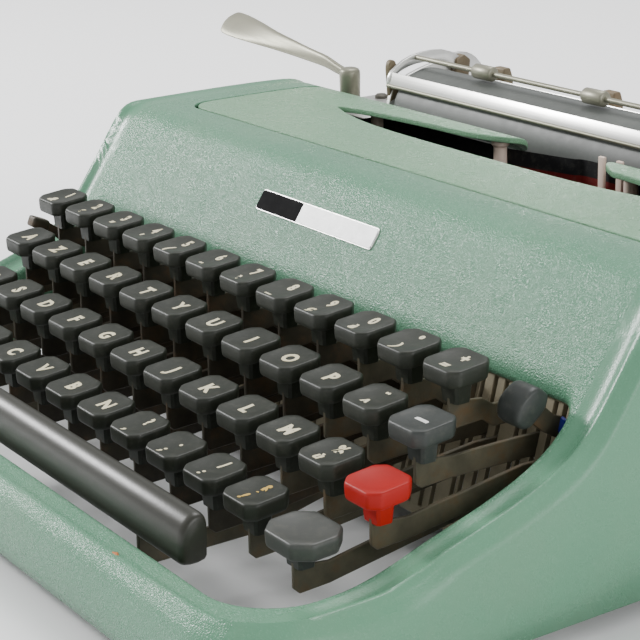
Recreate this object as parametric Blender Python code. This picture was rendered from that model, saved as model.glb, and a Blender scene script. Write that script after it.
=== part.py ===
"""Portable typewriter, built as an assembly of separate named parts.

Frame: X to the typist's right, Y away from the typist, Z up.  Every part is
drawn from one datum, on the table between the casing's sides; the last lines
move the whole machine so that the frame's origin is on the table under the
middle of its overall box.  Lengths below are in millimetres and are turned
into metres when a mesh is made.
"""
import math
import bmesh
import bpy
from mathutils import Vector

for old in list(bpy.data.objects):
    bpy.data.objects.remove(old, do_unlink=True)

MM = 0.001
ORIGIN = Vector((29.3, -8.9, 0.0))   # the machine's datum in the finished frame

# ---- driving dimensions ------------------------------------------------
KEY_PITCH = 19.0          # spacing of keys along a row
ROW_RUN = 16.2            # depth from one row to the next
ROW_RISE = 9.15           # height from one row to the next
ROW_SHIFT = (0.0, -10.0, -14.25, -21.8)   # stagger of each row, front to back
KEY_X0 = -84.0            # first key of the front row
KEY_Y0 = -105.0           # front row
KEY_Z0 = 37.0             # top of the front row's caps
CAP_W, CAP_D, CAP_H = 14.4, 13.2, 4.6
STEM_W, STEM_D, STEM_H = 7.2, 5.4, 6.0
LEVER_T = 1.2             # thickness of a key lever
LEVER_H = 6.0             # height of a key lever
PIVOT_Y, PIVOT_Z, PIVOT_R = 70.0, 24.0, 2.5
LEVER_AT_COMB = (31.5, 38.0, 43.5, 50.5)   # top edge of each row's levers at the comb
SLOT_HALF = 1.0           # half width of a comb slot
SPACE_ARM = 13.7          # offset of the space bar arms from a front-row lever
SPACE_ARM_COLS = (1, 7)   # the front-row levers that they stand beside
SIDE_LEVER_X = 118.5      # ribbon selector and tabulator set lever, one each side
SELECT_Y, SELECT_Z = -14.0, 42.0
SET_Y, SET_Z = -14.0, 41.0

CASE_X = 139.0            # half width of the casing
CASE_T = 2.4              # skin of the casing
CASE_R = 24.0             # plan radius of the casing's front corners
CASE_RR = 16.0            # plan radius of the rear corners
CASE_Z0 = 5.0             # bottom edge of the casing
FOOT_R = 4.9
OPEN_X = 124.0            # half width of the keyboard opening
OPEN_Y0, OPEN_Y1 = -131.0, -35.0
OPEN_R0, OPEN_R1 = 18.0, 5.0
COLLAR_Z = 11.0
WELL_X = 118.0            # half width of the opening over the mechanism
WELL_Y0, WELL_Y1 = -1.5, 128.0

COVER_T = 2.0
COVER_GAP = 0.4
COVER_Y1 = 62.0
LENS_X, LENS_HALF = 7.0, 87.0
GUIDE_X, GUIDE_HALF = 14.0, 21.0

PLATEN_Y, PLATEN_Z, PLATEN_R = 84.0, 76.5, 15.5
PLATEN_X0, PLATEN_X1 = -94.0, 118.0
PLATE_X0, PLATE_X1 = -99.0, 124.0

COMB_Y_TOP, COMB_Z_TOP = -33.6, 54.0
COMB_Y_BOT, COMB_Z_BOT = -45.6, 10.0
COMB_X = 121.4
FRAME_X = 120.0

# casing contour in the Y-Z plane: front foot, rim, sweep, panel, top, shelf, back
CONTOUR = [
    (-142.2, 5.0), (-143.4, 9.5), (-143.8, 14.5), (-143.0, 19.4), (-141.0, 22.6),
    (-138.0, 24.2), (-131.0, 24.8), (-115.0, 24.9), (-104.0, 25.5), (-93.0, 27.9),
    (-83.0, 31.0), (-73.0, 33.9), (-64.0, 36.7), (-55.0, 40.1), (-48.5, 43.4),
    (-44.0, 46.5), (-41.0, 49.4), (-38.2, 52.7), (-35.6, 56.2), (-30.4, 63.7),
    (-25.0, 71.7), (-20.4, 78.5), (-18.0, 81.6), (-15.2, 83.8), (-11.5, 85.1),
    (-6.0, 85.6), (8.0, 85.9), (34.0, 86.0), (50.0, 85.6), (56.5, 84.5),
    (60.8, 81.6), (63.0, 77.0), (64.2, 70.0), (65.6, 64.0), (68.5, 60.4),
    (74.0, 59.1), (84.0, 59.0), (112.0, 58.6), (144.0, 57.0), (153.0, 54.8),
    (158.6, 50.0), (161.0, 43.0), (161.6, 31.0), (161.0, 16.0), (160.0, 5.0),
]


# ---- materials ---------------------------------------------------------
def material(name, color, rough=0.5, metal=0.0):
    m = bpy.data.materials.new(name)
    m.use_nodes = True
    b = m.node_tree.nodes["Principled BSDF"]
    b.inputs["Base Color"].default_value = (*color, 1)
    b.inputs["Roughness"].default_value = rough
    b.inputs["Metallic"].default_value = metal
    m.diffuse_color = (*color, 1)
    return m


M_CASE = material("enamel_green", (0.23, 0.36, 0.29), 0.45)
M_COVER = material("enamel_green_cover", (0.25, 0.38, 0.31), 0.45)
M_KEY = material("key_plastic", (0.05, 0.053, 0.05), 0.4)
M_BAR = material("bar_plastic", (0.045, 0.045, 0.04), 0.4)
M_SHIFT = material("shift_plastic", (0.06, 0.063, 0.065), 0.4)
M_LOCK = material("lock_plastic", (0.06, 0.063, 0.065), 0.4)
M_BACK = material("backspace_plastic", (0.055, 0.057, 0.057), 0.4)
M_TAB = material("tab_red", (0.55, 0.02, 0.02), 0.3)
M_SEL = material("selector_grey", (0.09, 0.095, 0.1), 0.4)
M_SET = material("set_lever_steel", (0.08, 0.075, 0.065), 0.5, 0.6)
M_MECH = material("frame_steel", (0.16, 0.135, 0.1), 0.5, 0.8)
M_CARR = material("carriage_metal", (0.55, 0.55, 0.53), 0.35, 0.8)
M_PLATEN = material("platen_rubber", (0.035, 0.035, 0.035), 0.7)
M_LEVER = material("return_lever_metal", (0.45, 0.45, 0.4), 0.35, 0.8)
M_BAIL = material("bail_steel", (0.6, 0.6, 0.58), 0.3, 0.9)
M_SPOOL = material("spool_steel", (0.2, 0.2, 0.2), 0.4, 0.8)
M_SPOOL2 = material("spool_steel_right", (0.2, 0.2, 0.2), 0.4, 0.8)


# ---- mesh helpers ------------------------------------------------------
def new_object(name, verts, faces, mat=None):
    me = bpy.data.meshes.new(name)
    me.from_pydata([(x * MM, y * MM, z * MM) for x, y, z in verts], [], faces)
    me.update()
    ob = bpy.data.objects.new(name, me)
    bpy.context.scene.collection.objects.link(ob)
    bm = bmesh.new()
    bm.from_mesh(me)
    bmesh.ops.recalc_face_normals(bm, faces=bm.faces)
    bm.to_mesh(me)
    bm.free()
    if mat:
        me.materials.append(mat)
    return ob


def loft(name, rings, mat=None):
    """Closed body through rings that all have the same number of points."""
    n = len(rings[0])
    verts = [p for r in rings for p in r]
    faces = [list(range(n)), [(len(rings) - 1) * n + i for i in range(n)]]
    for k in range(len(rings) - 1):
        a, b = k * n, (k + 1) * n
        for i in range(n):
            j = (i + 1) % n
            faces.append([a + i, a + j, b + j, b + i])
    return new_object(name, verts, faces, mat)


def prism_x(name, poly, x0, x1, mat=None):
    return loft(name, [[(x, y, z) for y, z in poly] for x in (x0, x1)], mat)


def prism_z(name, poly, z0, z1, mat=None):
    return loft(name, [[(x, y, z) for x, y in poly] for z in (z0, z1)], mat)


def box(name, x0, x1, y0, y1, z0, z1, mat=None):
    return prism_z(name, [(x0, y0), (x1, y0), (x1, y1), (x0, y1)], z0, z1, mat)


def rounded(x0, x1, y0, y1, radii, seg=5):
    """Plan outline with radii for (x0,y0), (x1,y0), (x1,y1), (x0,y1)."""
    out = []
    corners = ((x0, y0, 1, 1, 180), (x1, y0, -1, 1, 270), (x1, y1, -1, -1, 0), (x0, y1, 1, -1, 90))
    for (cx, cy, sx, sy, a0), r in zip(corners, radii):
        if r <= 0:
            out.append((cx, cy))
            continue
        for i in range(seg + 1):
            a = math.radians(a0 + 90.0 * i / seg)
            out.append((cx + sx * r + r * math.cos(a), cy + sy * r + r * math.sin(a)))
    return out


def lathe(name, stations, centre, axis="X", seg=24, mat=None):
    """Body of revolution; stations are (position along the axis, radius)."""
    rings = []
    for s, r in stations:
        ring = []
        for i in range(seg):
            a = 2 * math.pi * i / seg
            u, v = r * math.cos(a), r * math.sin(a)
            if axis == "X":
                ring.append((s, centre[0] + u, centre[1] + v))
            else:
                ring.append((centre[0] + u, centre[1] + v, s))
        rings.append(ring)
    return loft(name, rings, mat)


def combine(ob, others, op):
    """Exact boolean of ob with others, baked into ob's mesh."""
    for other in others:
        mod = ob.modifiers.new("op", "BOOLEAN")
        mod.operation = op
        mod.solver = "EXACT"
        mod.object = other
        bpy.context.view_layer.update()
        deps = bpy.context.evaluated_depsgraph_get()
        me = bpy.data.meshes.new_from_object(ob.evaluated_get(deps))
        ob.modifiers.clear()
        old_me = ob.data
        ob.data = me
        me.name = ob.name
        bpy.data.meshes.remove(old_me)
        bpy.data.objects.remove(other, do_unlink=True)
    return ob


def union(ob, *others):
    return combine(ob, others, "UNION")


def cut(ob, *others):
    return combine(ob, others, "DIFFERENCE")


def split_quads(ob):
    bm = bmesh.new()
    bm.from_mesh(ob.data)
    bmesh.ops.triangulate(bm, faces=bm.faces)
    bm.to_mesh(ob.data)
    bm.free()
    return ob


def clean(ob, dist=0.00002):
    bm = bmesh.new()
    bm.from_mesh(ob.data)
    bmesh.ops.remove_doubles(bm, verts=bm.verts, dist=dist)
    bmesh.ops.dissolve_degenerate(bm, edges=bm.edges, dist=dist)
    bmesh.ops.triangulate(bm, faces=[f for f in bm.faces if len(f.verts) > 4])
    bmesh.ops.recalc_face_normals(bm, faces=bm.faces)
    bm.to_mesh(ob.data)
    bm.free()
    return ob


def smooth(ob, angle=35.0):
    for p in ob.data.polygons:
        p.use_smooth = True
    ob.data.set_sharp_from_angle(angle=math.radians(angle))
    return ob


def finish(ob, mat, pivot=None, angle=35.0):
    """One material, smooth shading and the origin on the joint axis."""
    ob.data.materials.clear()
    ob.data.materials.append(mat)
    for p in ob.data.polygons:
        p.material_index = 0
    smooth(ob, angle)
    if pivot:
        p = Vector(pivot) * MM
        for v in ob.data.vertices:
            v.co -= p
        ob.location = p
    return ob


# ---- casing ------------------------------------------------------------
def offset_contour(t):
    """The casing contour moved inwards by t."""
    pts = CONTOUR
    out = []
    for i, (y, z) in enumerate(pts):
        a, b = pts[max(i - 1, 0)], pts[min(i + 1, len(pts) - 1)]
        dy, dz = b[0] - a[0], b[1] - a[1]
        ln = math.hypot(dy, dz)
        out.append((y + t * dz / ln, z - t * dy / ln))
    return out


def corner_back(d, r):
    return 0.0 if d >= r else r - math.sqrt(r * r - (r - d) ** 2)


def ramp(v, a, b):
    return min(1.0, max(0.0, (v - a) / (b - a)))


def edge_drop(d, r):
    return 0.0 if d >= r else r - math.sqrt(max(0.0, r * r - (r - d) ** 2))


def case_rings(contour, half, t, low):
    """Rings of the casing across X; t moves the surface inwards."""
    ds = [0.0, 0.35, 1.3, 2.8, 5.0, 8.0, 11.6, 16.0, 24.0]
    xs = [half - d for d in ds] + [60.0]
    xs = [-x for x in xs] + xs[::-1]
    rings = []
    for x in xs:
        d = half - abs(x)
        front = corner_back(d, CASE_R - t)
        rear = corner_back(d, CASE_RR - t)
        drop = edge_drop(d, 4.6 - 0.6 * t)
        bead = 1.5 * math.exp(-((d - 5.0) / 1.9) ** 2) if t == 0 else 0.0
        ring = []
        for y, z in contour:
            yy = y + front * (1 - ramp(y, -122.0, -84.0)) - rear * ramp(y, 112.0, 140.0)
            zz = z
            if z > 17.0:
                k = ramp(z, 17.0, 24.0)
                lift = bead * (1 - 0.85 * ramp(y, -20.0, -8.0))
                zz = z - drop * k + lift * k
            ring.append((x, yy, zz))
        ring.append((x, ring[-1][1], low))
        ring.append((x, ring[0][1], low))
        rings.append(ring)
    return rings


def build_casing():
    outer = split_quads(loft("body_shell", case_rings(CONTOUR, CASE_X, 0.0, CASE_Z0 - 0.01)))
    cavity = split_quads(loft("cavity", case_rings(offset_contour(CASE_T), CASE_X - CASE_T, CASE_T, -4.0)))
    # skirt that hangs from the rim round the three open sides of the keyboard
    ring_out = rounded(-OPEN_X - 2.4, OPEN_X + 2.4, OPEN_Y0 - 2.4, -36.5,
                       (OPEN_R0 + 2.4, OPEN_R0 + 2.4, 0, 0))
    ring_in = rounded(-OPEN_X + 1, OPEN_X - 1, OPEN_Y0 + 1, -30.0, (OPEN_R0 - 1, OPEN_R0 - 1, 0, 0))
    skirt = prism_z("skirt", ring_out, COLLAR_Z, 90.0)
    cut(skirt, prism_z("skirt_in", ring_in, 0.0, 100.0))
    cut(cavity, skirt)
    cut(outer, cavity)
    hole = prism_z("hole", rounded(-OPEN_X, OPEN_X, OPEN_Y0, OPEN_Y1,
                                   (OPEN_R0, OPEN_R0, OPEN_R1, OPEN_R1)), -10.0, 110.0)
    cut(outer, hole)
    well = prism_z("well", rounded(-WELL_X, WELL_X, WELL_Y0, WELL_Y1, (9.0, 9.0, 6.0, 6.0), 4),
                   50.0, 120.0)
    cut(outer, well)
    # four feet in the corners of the skin
    for sx in (-1, 1):
        for y in (-96.0, 136.0):
            x = sx * (CASE_X - CASE_T - 3.6)
            foot = lathe("foot", [(0.0, FOOT_R - 0.8), (0.8, FOOT_R), (15.0, FOOT_R)], (x, y), "Z", 16)
            union(outer, foot)
    clean(outer)
    return finish(outer, M_CASE)


# ---- ribbon cover ------------------------------------------------------
def contour_z(y, pts):
    for (ya, za), (yb, zb) in zip(pts, pts[1:]):
        if ya <= y <= yb and yb > ya:
            return za + (zb - za) * (y - ya) / (yb - ya)
    return pts[-1][1]


def build_cover():
    """Lid over the ribbon and type basket, with the lens-shaped window."""
    top = [p for p in CONTOUR if -20.0 < p[0] < 63.5 and p[1] > 76.0]
    ys = [WELL_Y0 + COVER_GAP, 8.0, 20.0, 34.0, 50.0, 56.5, COVER_Y1]
    up = [(y, min(contour_z(y, top), 90.0)) for y in ys]
    up[-1] = (COVER_Y1, 84.2)
    up[-2] = (56.5, 85.3)
    down = [(y, z - COVER_T) for y, z in up][::-1]
    half = WELL_X - COVER_GAP
    slab = prism_x("ribbon_cover", up + down, -half, half)
    plan = rounded(-half, half, WELL_Y0 + COVER_GAP, COVER_Y1 + 5, (8.6, 8.6, 0, 0), 4)
    keep = prism_z("keep", plan, 70.0, 95.0)
    combine(slab, [keep], "INTERSECT")
    # window: nearly straight front edge, curved rear edge, pointed ends
    n = 14
    pts = []
    for i in range(n + 1):
        u = -1 + 2 * i / n
        pts.append((LENS_X + LENS_HALF * u, 36.5 - 9.5 * (1 - abs(u) ** 4.0)))
    for i in range(1, n):
        u = 1 - 2 * i / n
        pts.append((LENS_X + LENS_HALF * u, 36.5 + 9.8 * (1 - u * u) ** 0.6))
    cut(slab, prism_z("lens", pts, 70.0, 100.0))
    # gap in the rear edge in front of the printing point
    a, b = GUIDE_X - GUIDE_HALF, GUIDE_X + GUIDE_HALF
    gap = [(a - 9, 42.0), (b + 9, 42.0), (b + 4, 47.5), (b + 1, 52.0), (b, 57.0), (b + 2, 60.5),
           (b + 2, 70.0), (a - 2, 70.0), (a - 2, 60.5), (a, 57.0), (a - 1, 52.0), (a - 4, 47.5)]
    cut(slab, prism_z("gap", gap, 70.0, 100.0))
    # two lugs that drop inside the well and grip the mechanism
    for sx in (-1, 1):
        union(slab, box("lug", sx * 104.0 - 5, sx * 104.0 + 5, 42.0, 44.0, 78.0, 84.6))
    clean(slab)
    return finish(slab, M_COVER)


# ---- keys --------------------------------------------------------------
def cap_body(name, x, y, z, w, d, h, chamfer=2.3, slope=0.10, dish=0.7):
    """Key cap: chamfered square that flares a little, with a dished top."""
    def ring(scale, dz, drop=0.0):
        hw, hd, c = w / 2 * scale, d / 2 * scale, chamfer * scale
        pts = [(-hw + c, -hd), (hw - c, -hd), (hw, -hd + c), (hw, hd - c),
               (hw - c, hd), (-hw + c, hd), (-hw, hd - c), (-hw, -hd + c)]
        return [(x + px, y + py, z + dz + slope * py - drop) for px, py in pts]
    rings = [ring(0.90, -h), ring(1.0, -h * 0.72), ring(0.985, -0.5), ring(0.93, 0.0),
             ring(0.55, -dish)]
    return loft(name, rings)


def stem_body(x, y, z0, z1, w, d):
    """Shank under a cap, a little narrower at its foot."""
    a = [(x - w / 2 * 0.86, y - d / 2, z0), (x + w / 2 * 0.86, y - d / 2, z0),
         (x + w / 2 * 0.86, y + d / 2, z0), (x - w / 2 * 0.86, y + d / 2, z0)]
    b = [(x - w / 2, y - d / 2, z1), (x + w / 2, y - d / 2, z1),
         (x + w / 2, y + d / 2, z1), (x - w / 2, y + d / 2, z1)]
    return loft("stem", [a, b])


def lever_profile(y, z_foot, z_comb):
    """Key lever in the Y-Z plane: fork on the rod, arm through the comb, heel under the stem."""
    fork, h = PIVOT_R + 0.4, LEVER_H
    top = z_foot - 1.2
    pts = [
        (PIVOT_Y + 6.0, PIVOT_Z - 5.6), (PIVOT_Y + 6.0, PIVOT_Z - fork), (PIVOT_Y - 1.2, PIVOT_Z - fork),
        (PIVOT_Y - fork, PIVOT_Z), (PIVOT_Y - 1.2, PIVOT_Z + fork), (PIVOT_Y + 6.0, PIVOT_Z + fork),
        (PIVOT_Y + 6.0, PIVOT_Z + 5.6), (PIVOT_Y - 7.0, PIVOT_Z + 5.6), (PIVOT_Y - 14.0, PIVOT_Z + 4.2),
        (-28.0, z_comb - 0.6), (-45.0, z_comb), (y + 8.0, top + 0.1), (y + 2.4, top + 0.8),
        (y + 2.4, z_foot + 1.5), (y - 2.4, z_foot + 1.5), (y - 2.4, top - h + 1.6), (y - 0.8, top - h),
        (y + 8.0, top - h + 0.4), (-45.0, z_comb - h), (-28.0, z_comb - h - 0.6),
        (PIVOT_Y - 14.0, PIVOT_Z - 4.2), (PIVOT_Y - 7.0, PIVOT_Z - 5.6),
    ]
    return pts[::-1]


def build_key(name, x, row, mat, w=CAP_W, d=CAP_D, y_off=0.0, z_off=0.0, chamfer=2.3, h=CAP_H):
    y = KEY_Y0 + ROW_RUN * row + y_off
    z = KEY_Z0 + ROW_RISE * row + z_off
    cap = cap_body(name, x, y, z, w, d, h, chamfer)
    foot = z - h - STEM_H
    union(cap, stem_body(x, y, foot, z - h + 1.2, STEM_W, STEM_D))
    union(cap, prism_x("lever", lever_profile(y, foot, LEVER_AT_COMB[row]), x - LEVER_T / 2, x + LEVER_T / 2))
    clean(cap)
    return finish(cap, mat, (x, PIVOT_Y, PIVOT_Z))


def key_x(row, col):
    return KEY_X0 + ROW_SHIFT[row] + KEY_PITCH * col


KEY_ROWS = (
    "w x c v b n comma semicolon colon exclamation",
    "q s d f g h j k l m u_grave",
    "a z e r t y u i o p circumflex",
    "1 2 3 4 5 6 7 8 9 0 degree equals",
)


def build_keys():
    for row, names in enumerate(KEY_ROWS):
        for col, nm in enumerate(names.split()):
            build_key("key_" + nm, key_x(row, col), row, M_KEY)
    build_key("backspace_key", key_x(2, 11), 2, M_BACK)
    build_key("tab_key", key_x(1, 11), 1, M_TAB, z_off=-1.0, chamfer=2.6)
    build_key("shift_lock_key", key_x(1, -1), 1, M_LOCK)


def build_shift():
    """Both shift keys on one yoke, so that they go down together."""
    xr, xl = key_x(0, 10), key_x(0, -1)
    z = KEY_Z0 - 2.0
    ob = None
    for x in (xr, xl):
        cap = cap_body("shift_keys" if ob is None else "c", x + (2.5 if x > 0 else -2.5),
                       KEY_Y0 - 0.6, z, 19.0, 15.0, CAP_H, 4.0, 0.06, 0.8)
        foot = z - CAP_H - STEM_H
        union(cap, stem_body(x, KEY_Y0, foot, z - CAP_H + 1.2, STEM_W, STEM_D))
        prof = lever_profile(KEY_Y0, foot, LEVER_AT_COMB[0])
        union(cap, prism_x("lever", prof, x - LEVER_T / 2, x + LEVER_T / 2))
        # leg down to the yoke's cross rod
        union(cap, box("leg", x - LEVER_T / 2, x + LEVER_T / 2, 45.0, 51.0, 8.0, 23.0))
        if ob is None:
            ob = cap
        else:
            union(ob, cap)
    union(ob, box("rod", xl - 0.5, xr + 0.5, 46.0, 50.0, 8.8, 12.8))
    clean(ob)
    return finish(ob, M_SHIFT, (0.0, PIVOT_Y, PIVOT_Z))


SPACE_X0, SPACE_X1 = -72.0, 90.0
SPACE_Y, SPACE_Z = -122.6, 36.4


def build_space_bar():
    """Long bar with a rounded ridge, carried by two arms."""
    sec = [(-4.2, -12.6), (1.2, -12.6), (2.0, -9.0), (2.2, -3.0), (1.4, -0.7), (0.0, 0.0),
           (-1.6, -0.2), (-3.4, -1.4), (-4.9, -3.4), (-5.4, -8.0)]
    rings = []
    for x, s in ((SPACE_X0, 0.86), (SPACE_X0 + 0.8, 0.97), (SPACE_X0 + 2.2, 1.0),
                 (SPACE_X1 - 2.2, 1.0), (SPACE_X1 - 0.8, 0.97), (SPACE_X1, 0.86)):
        rings.append([(x, SPACE_Y + a * s, SPACE_Z - 6.3 + (b + 6.3) * s) for a, b in sec])
    bar = loft("space_bar", rings)
    # the arms dip under the front row, so that its caps clear them when pressed
    fork = PIVOT_R + 0.4
    prof = [(PIVOT_Y + 6.0, PIVOT_Z - 5.6), (PIVOT_Y + 6.0, PIVOT_Z - fork), (PIVOT_Y - 1.2, PIVOT_Z - fork),
            (PIVOT_Y - fork, PIVOT_Z), (PIVOT_Y - 1.2, PIVOT_Z + fork), (PIVOT_Y + 6.0, PIVOT_Z + fork),
            (PIVOT_Y + 6.0, PIVOT_Z + 5.6), (PIVOT_Y - 7.0, PIVOT_Z + 5.6), (-30.0, 28.6), (-60.0, 26.0),
            (-90.0, 18.6), (-119.0, 18.4), (-120.4, 20.0), (-120.8, 29.0), (-125.0, 29.0), (-125.0, 15.0),
            (-123.0, 13.2), (-90.0, 13.2), (-58.0, 20.4), (-30.0, 22.6), (PIVOT_Y - 7.0, PIVOT_Z - 5.6)]
    for col in SPACE_ARM_COLS:
        x = KEY_X0 + SPACE_ARM + KEY_PITCH * col
        union(bar, prism_x("arm", prof[::-1], x - 0.7, x + 0.7))
    clean(bar)
    return finish(bar, M_BAR, (0.0, PIVOT_Y, PIVOT_Z))


def build_selector():
    """Ribbon colour selector: tilted thumb piece on a lever that runs back through the comb."""
    side = [(-51.6, 53.0), (-50.4, 56.4), (-45.8, 59.6), (-42.4, 58.0), (-41.6, 56.2), (-43.2, 53.0),
            (-48.0, 49.4), (-51.0, 50.8)]
    y0, z0 = -46.6, 54.2
    rings = []
    for x, s in ((112.4, 0.84), (113.4, 0.97), (114.4, 1.0), (118.8, 1.0), (119.8, 0.97), (120.8, 0.86)):
        rings.append([(x, y0 + (y - y0) * s, z0 + (z - z0) * s) for y, z in side])
    cap = loft("ribbon_selector", rings)
    arm = [(-47.0, 51.5), (-43.6, 55.4), (-38.4, 50.6), (-34.0, 48.8), (-20.0, 46.6), (SELECT_Y + 4.0, 46.0),
           (SELECT_Y + 4.0, 38.0), (-18.0, 39.6), (-34.0, 43.8), (-38.0, 44.6), (-42.0, 47.0), (-45.0, 49.6)]
    union(cap, prism_x("arm", arm, SIDE_LEVER_X - 0.7, SIDE_LEVER_X + 0.7))
    clean(cap)
    return finish(cap, M_SEL, (SIDE_LEVER_X, SELECT_Y, SELECT_Z))


def build_set_lever():
    """Thin curved lever for setting and clearing the tabulator stops, through the comb as well."""
    arm = [(-60.6, 54.6), (-61.4, 53.4), (-60.8, 52.0), (-57.4, 50.6), (-52.0, 45.4), (-42.0, 41.4),
           (-30.0, 39.6), (SET_Y + 4.0, 38.0), (SET_Y + 4.0, 44.0), (-30.0, 44.4), (-42.0, 45.6),
           (-50.0, 48.6), (-56.0, 52.6)]
    ob = prism_x("tab_set_lever", arm, -SIDE_LEVER_X - 0.7, -SIDE_LEVER_X + 0.7)
    grip = [(-63.4, 52.6), (-57.2, 50.2), (-56.4, 53.6), (-62.0, 56.0)]
    union(ob, prism_x("grip", grip, -120.8, -116.0))
    clean(ob)
    return finish(ob, M_SET, (-SIDE_LEVER_X, SET_Y, SET_Z))


# ---- mechanism ---------------------------------------------------------
def lever_positions():
    xs = [key_x(r, c) for r, names in enumerate(KEY_ROWS) for c in range(len(names.split()))]
    xs += [key_x(2, 11), key_x(1, 11), key_x(1, -1), key_x(0, 10), key_x(0, -1)]
    xs += [KEY_X0 + SPACE_ARM + KEY_PITCH * c for c in SPACE_ARM_COLS] + [-SIDE_LEVER_X, SIDE_LEVER_X]
    return sorted(xs)


def build_mechanism():
    """Chassis: slotted comb, side plates, lever rod, type segment, carriage rail."""
    dy, dz = COMB_Y_BOT - COMB_Y_TOP, COMB_Z_BOT - COMB_Z_TOP
    ln = math.hypot(dy, dz)
    ny, nz = 1.5 * -dz / ln, 1.5 * dy / ln
    poly = [(COMB_Y_TOP, COMB_Z_TOP), (COMB_Y_BOT, COMB_Z_BOT),
            (COMB_Y_BOT + ny, COMB_Z_BOT + nz), (COMB_Y_TOP + ny, COMB_Z_TOP + nz)]
    ob = prism_x("mechanism_frame", poly, -COMB_X, COMB_X)
    verts, faces = [], []
    for x in lever_positions():
        base = len(verts)
        verts += [(x + sx * SLOT_HALF, y, z) for z in (12.0, 52.4) for sx, y in
                  ((-1, -56.0), (1, -56.0), (1, -28.0), (-1, -28.0))]
        faces += [[base + i for i in f] for f in
                  ((0, 1, 2, 3), (4, 5, 6, 7), (0, 1, 5, 4), (1, 2, 6, 5), (2, 3, 7, 6), (3, 0, 4, 7))]
    cut(ob, new_object("slots", verts, faces))
    side = [(COMB_Y_TOP + 0.9, 53.0), (COMB_Y_BOT + 0.9, 12.0), (-30.0, 8.0), (120.0, 8.0), (120.0, 51.0),
            (64.0, 51.0), (58.0, 58.0), (40.0, 72.0), (4.0, 72.0), (-12.0, 66.0)]
    for x0 in (-COMB_X, COMB_X - 1.6):
        union(ob, prism_x("side", side, x0, x0 + 1.6))
    union(ob, lathe("rod", [(-COMB_X + 0.5, PIVOT_R), (COMB_X - 0.5, PIVOT_R)], (PIVOT_Y, PIVOT_Z), "X", 16))
    # rear tie bar and carriage rail
    union(ob, box("tie", -COMB_X + 0.4, COMB_X - 0.4, 112.0, 118.0, 14.0, 20.0))
    union(ob, box("rail", -COMB_X + 0.4, COMB_X - 0.4, 92.0, 100.0, 44.0, 51.0))
    union(ob, box("rail_lip", -112.0, 112.0, 94.0, 98.0, 50.0, 59.6))
    # spool deck, split round the basket, and the type segment
    for sx in (-1, 1):
        a, b = sorted((sx * (COMB_X - 0.6), sx * 68.0))
        union(ob, box("deck", a, b, 0.0, 42.0, 60.0, 62.4))
        union(ob, lathe("post", [(62.0, 2.0), (79.0, 2.0)], (sx * 98.0, 21.0), "Z", 12))
    outer, inner = [], []
    for i in range(17):
        a = math.radians(190.0 + 160.0 * i / 16)
        outer.append((GUIDE_X + 33.0 * math.cos(a), 62.0 + 33.0 * math.sin(a)))
        inner.append((GUIDE_X + 22.0 * math.cos(a), 62.0 + 22.0 * math.sin(a)))
    union(ob, prism_z("segment", outer + inner[::-1], 58.0, 66.0))
    union(ob, box("bridge", -COMB_X + 0.4, COMB_X - 0.4, 48.0, 56.0, 54.0, 59.0))
    # crescent on which the type heads rest
    rest_o, rest_i = [], []
    for i in range(17):
        a = math.radians(200.0 + 140.0 * i / 16)
        rest_o.append((GUIDE_X - 4 + 88.0 * math.cos(a), 62.0 + 56.0 * math.sin(a)))
        rest_i.append((GUIDE_X - 4 + 82.0 * math.cos(a), 62.0 + 50.0 * math.sin(a)))
    union(ob, prism_z("rest", rest_o + rest_i[::-1], 57.5, 64.0))
    clean(ob)
    return finish(ob, M_MECH)


def build_spool(name, x, mat):
    """Ribbon spool: two flanges on a hub."""
    st = [(63.2, 3.0), (63.2, 17.0), (64.2, 17.0), (64.2, 7.0), (76.6, 7.0), (76.6, 17.0),
          (77.6, 17.0), (77.6, 2.4)]
    seg = 28
    rings = [[(x + r * math.cos(2 * math.pi * i / seg), 21.0 + r * math.sin(2 * math.pi * i / seg), z)
              for i in range(seg)] for z, r in st]
    n = seg
    verts = [p for r in rings for p in r]
    faces = []
    for k in range(len(rings)):
        a, b = k * n, ((k + 1) % len(rings)) * n
        for i in range(n):
            j = (i + 1) % n
            faces.append([a + i, a + j, b + j, b + i])
    ob = new_object(name, verts, faces)
    clean(ob)
    return finish(ob, mat, (x, 21.0, 70.0))


# ---- carriage ----------------------------------------------------------
LEVER_PIVOT = (-123.8, 72.4, 76.0)
BAIL_PIVOT = (0.0, 104.0, 84.0)


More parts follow.
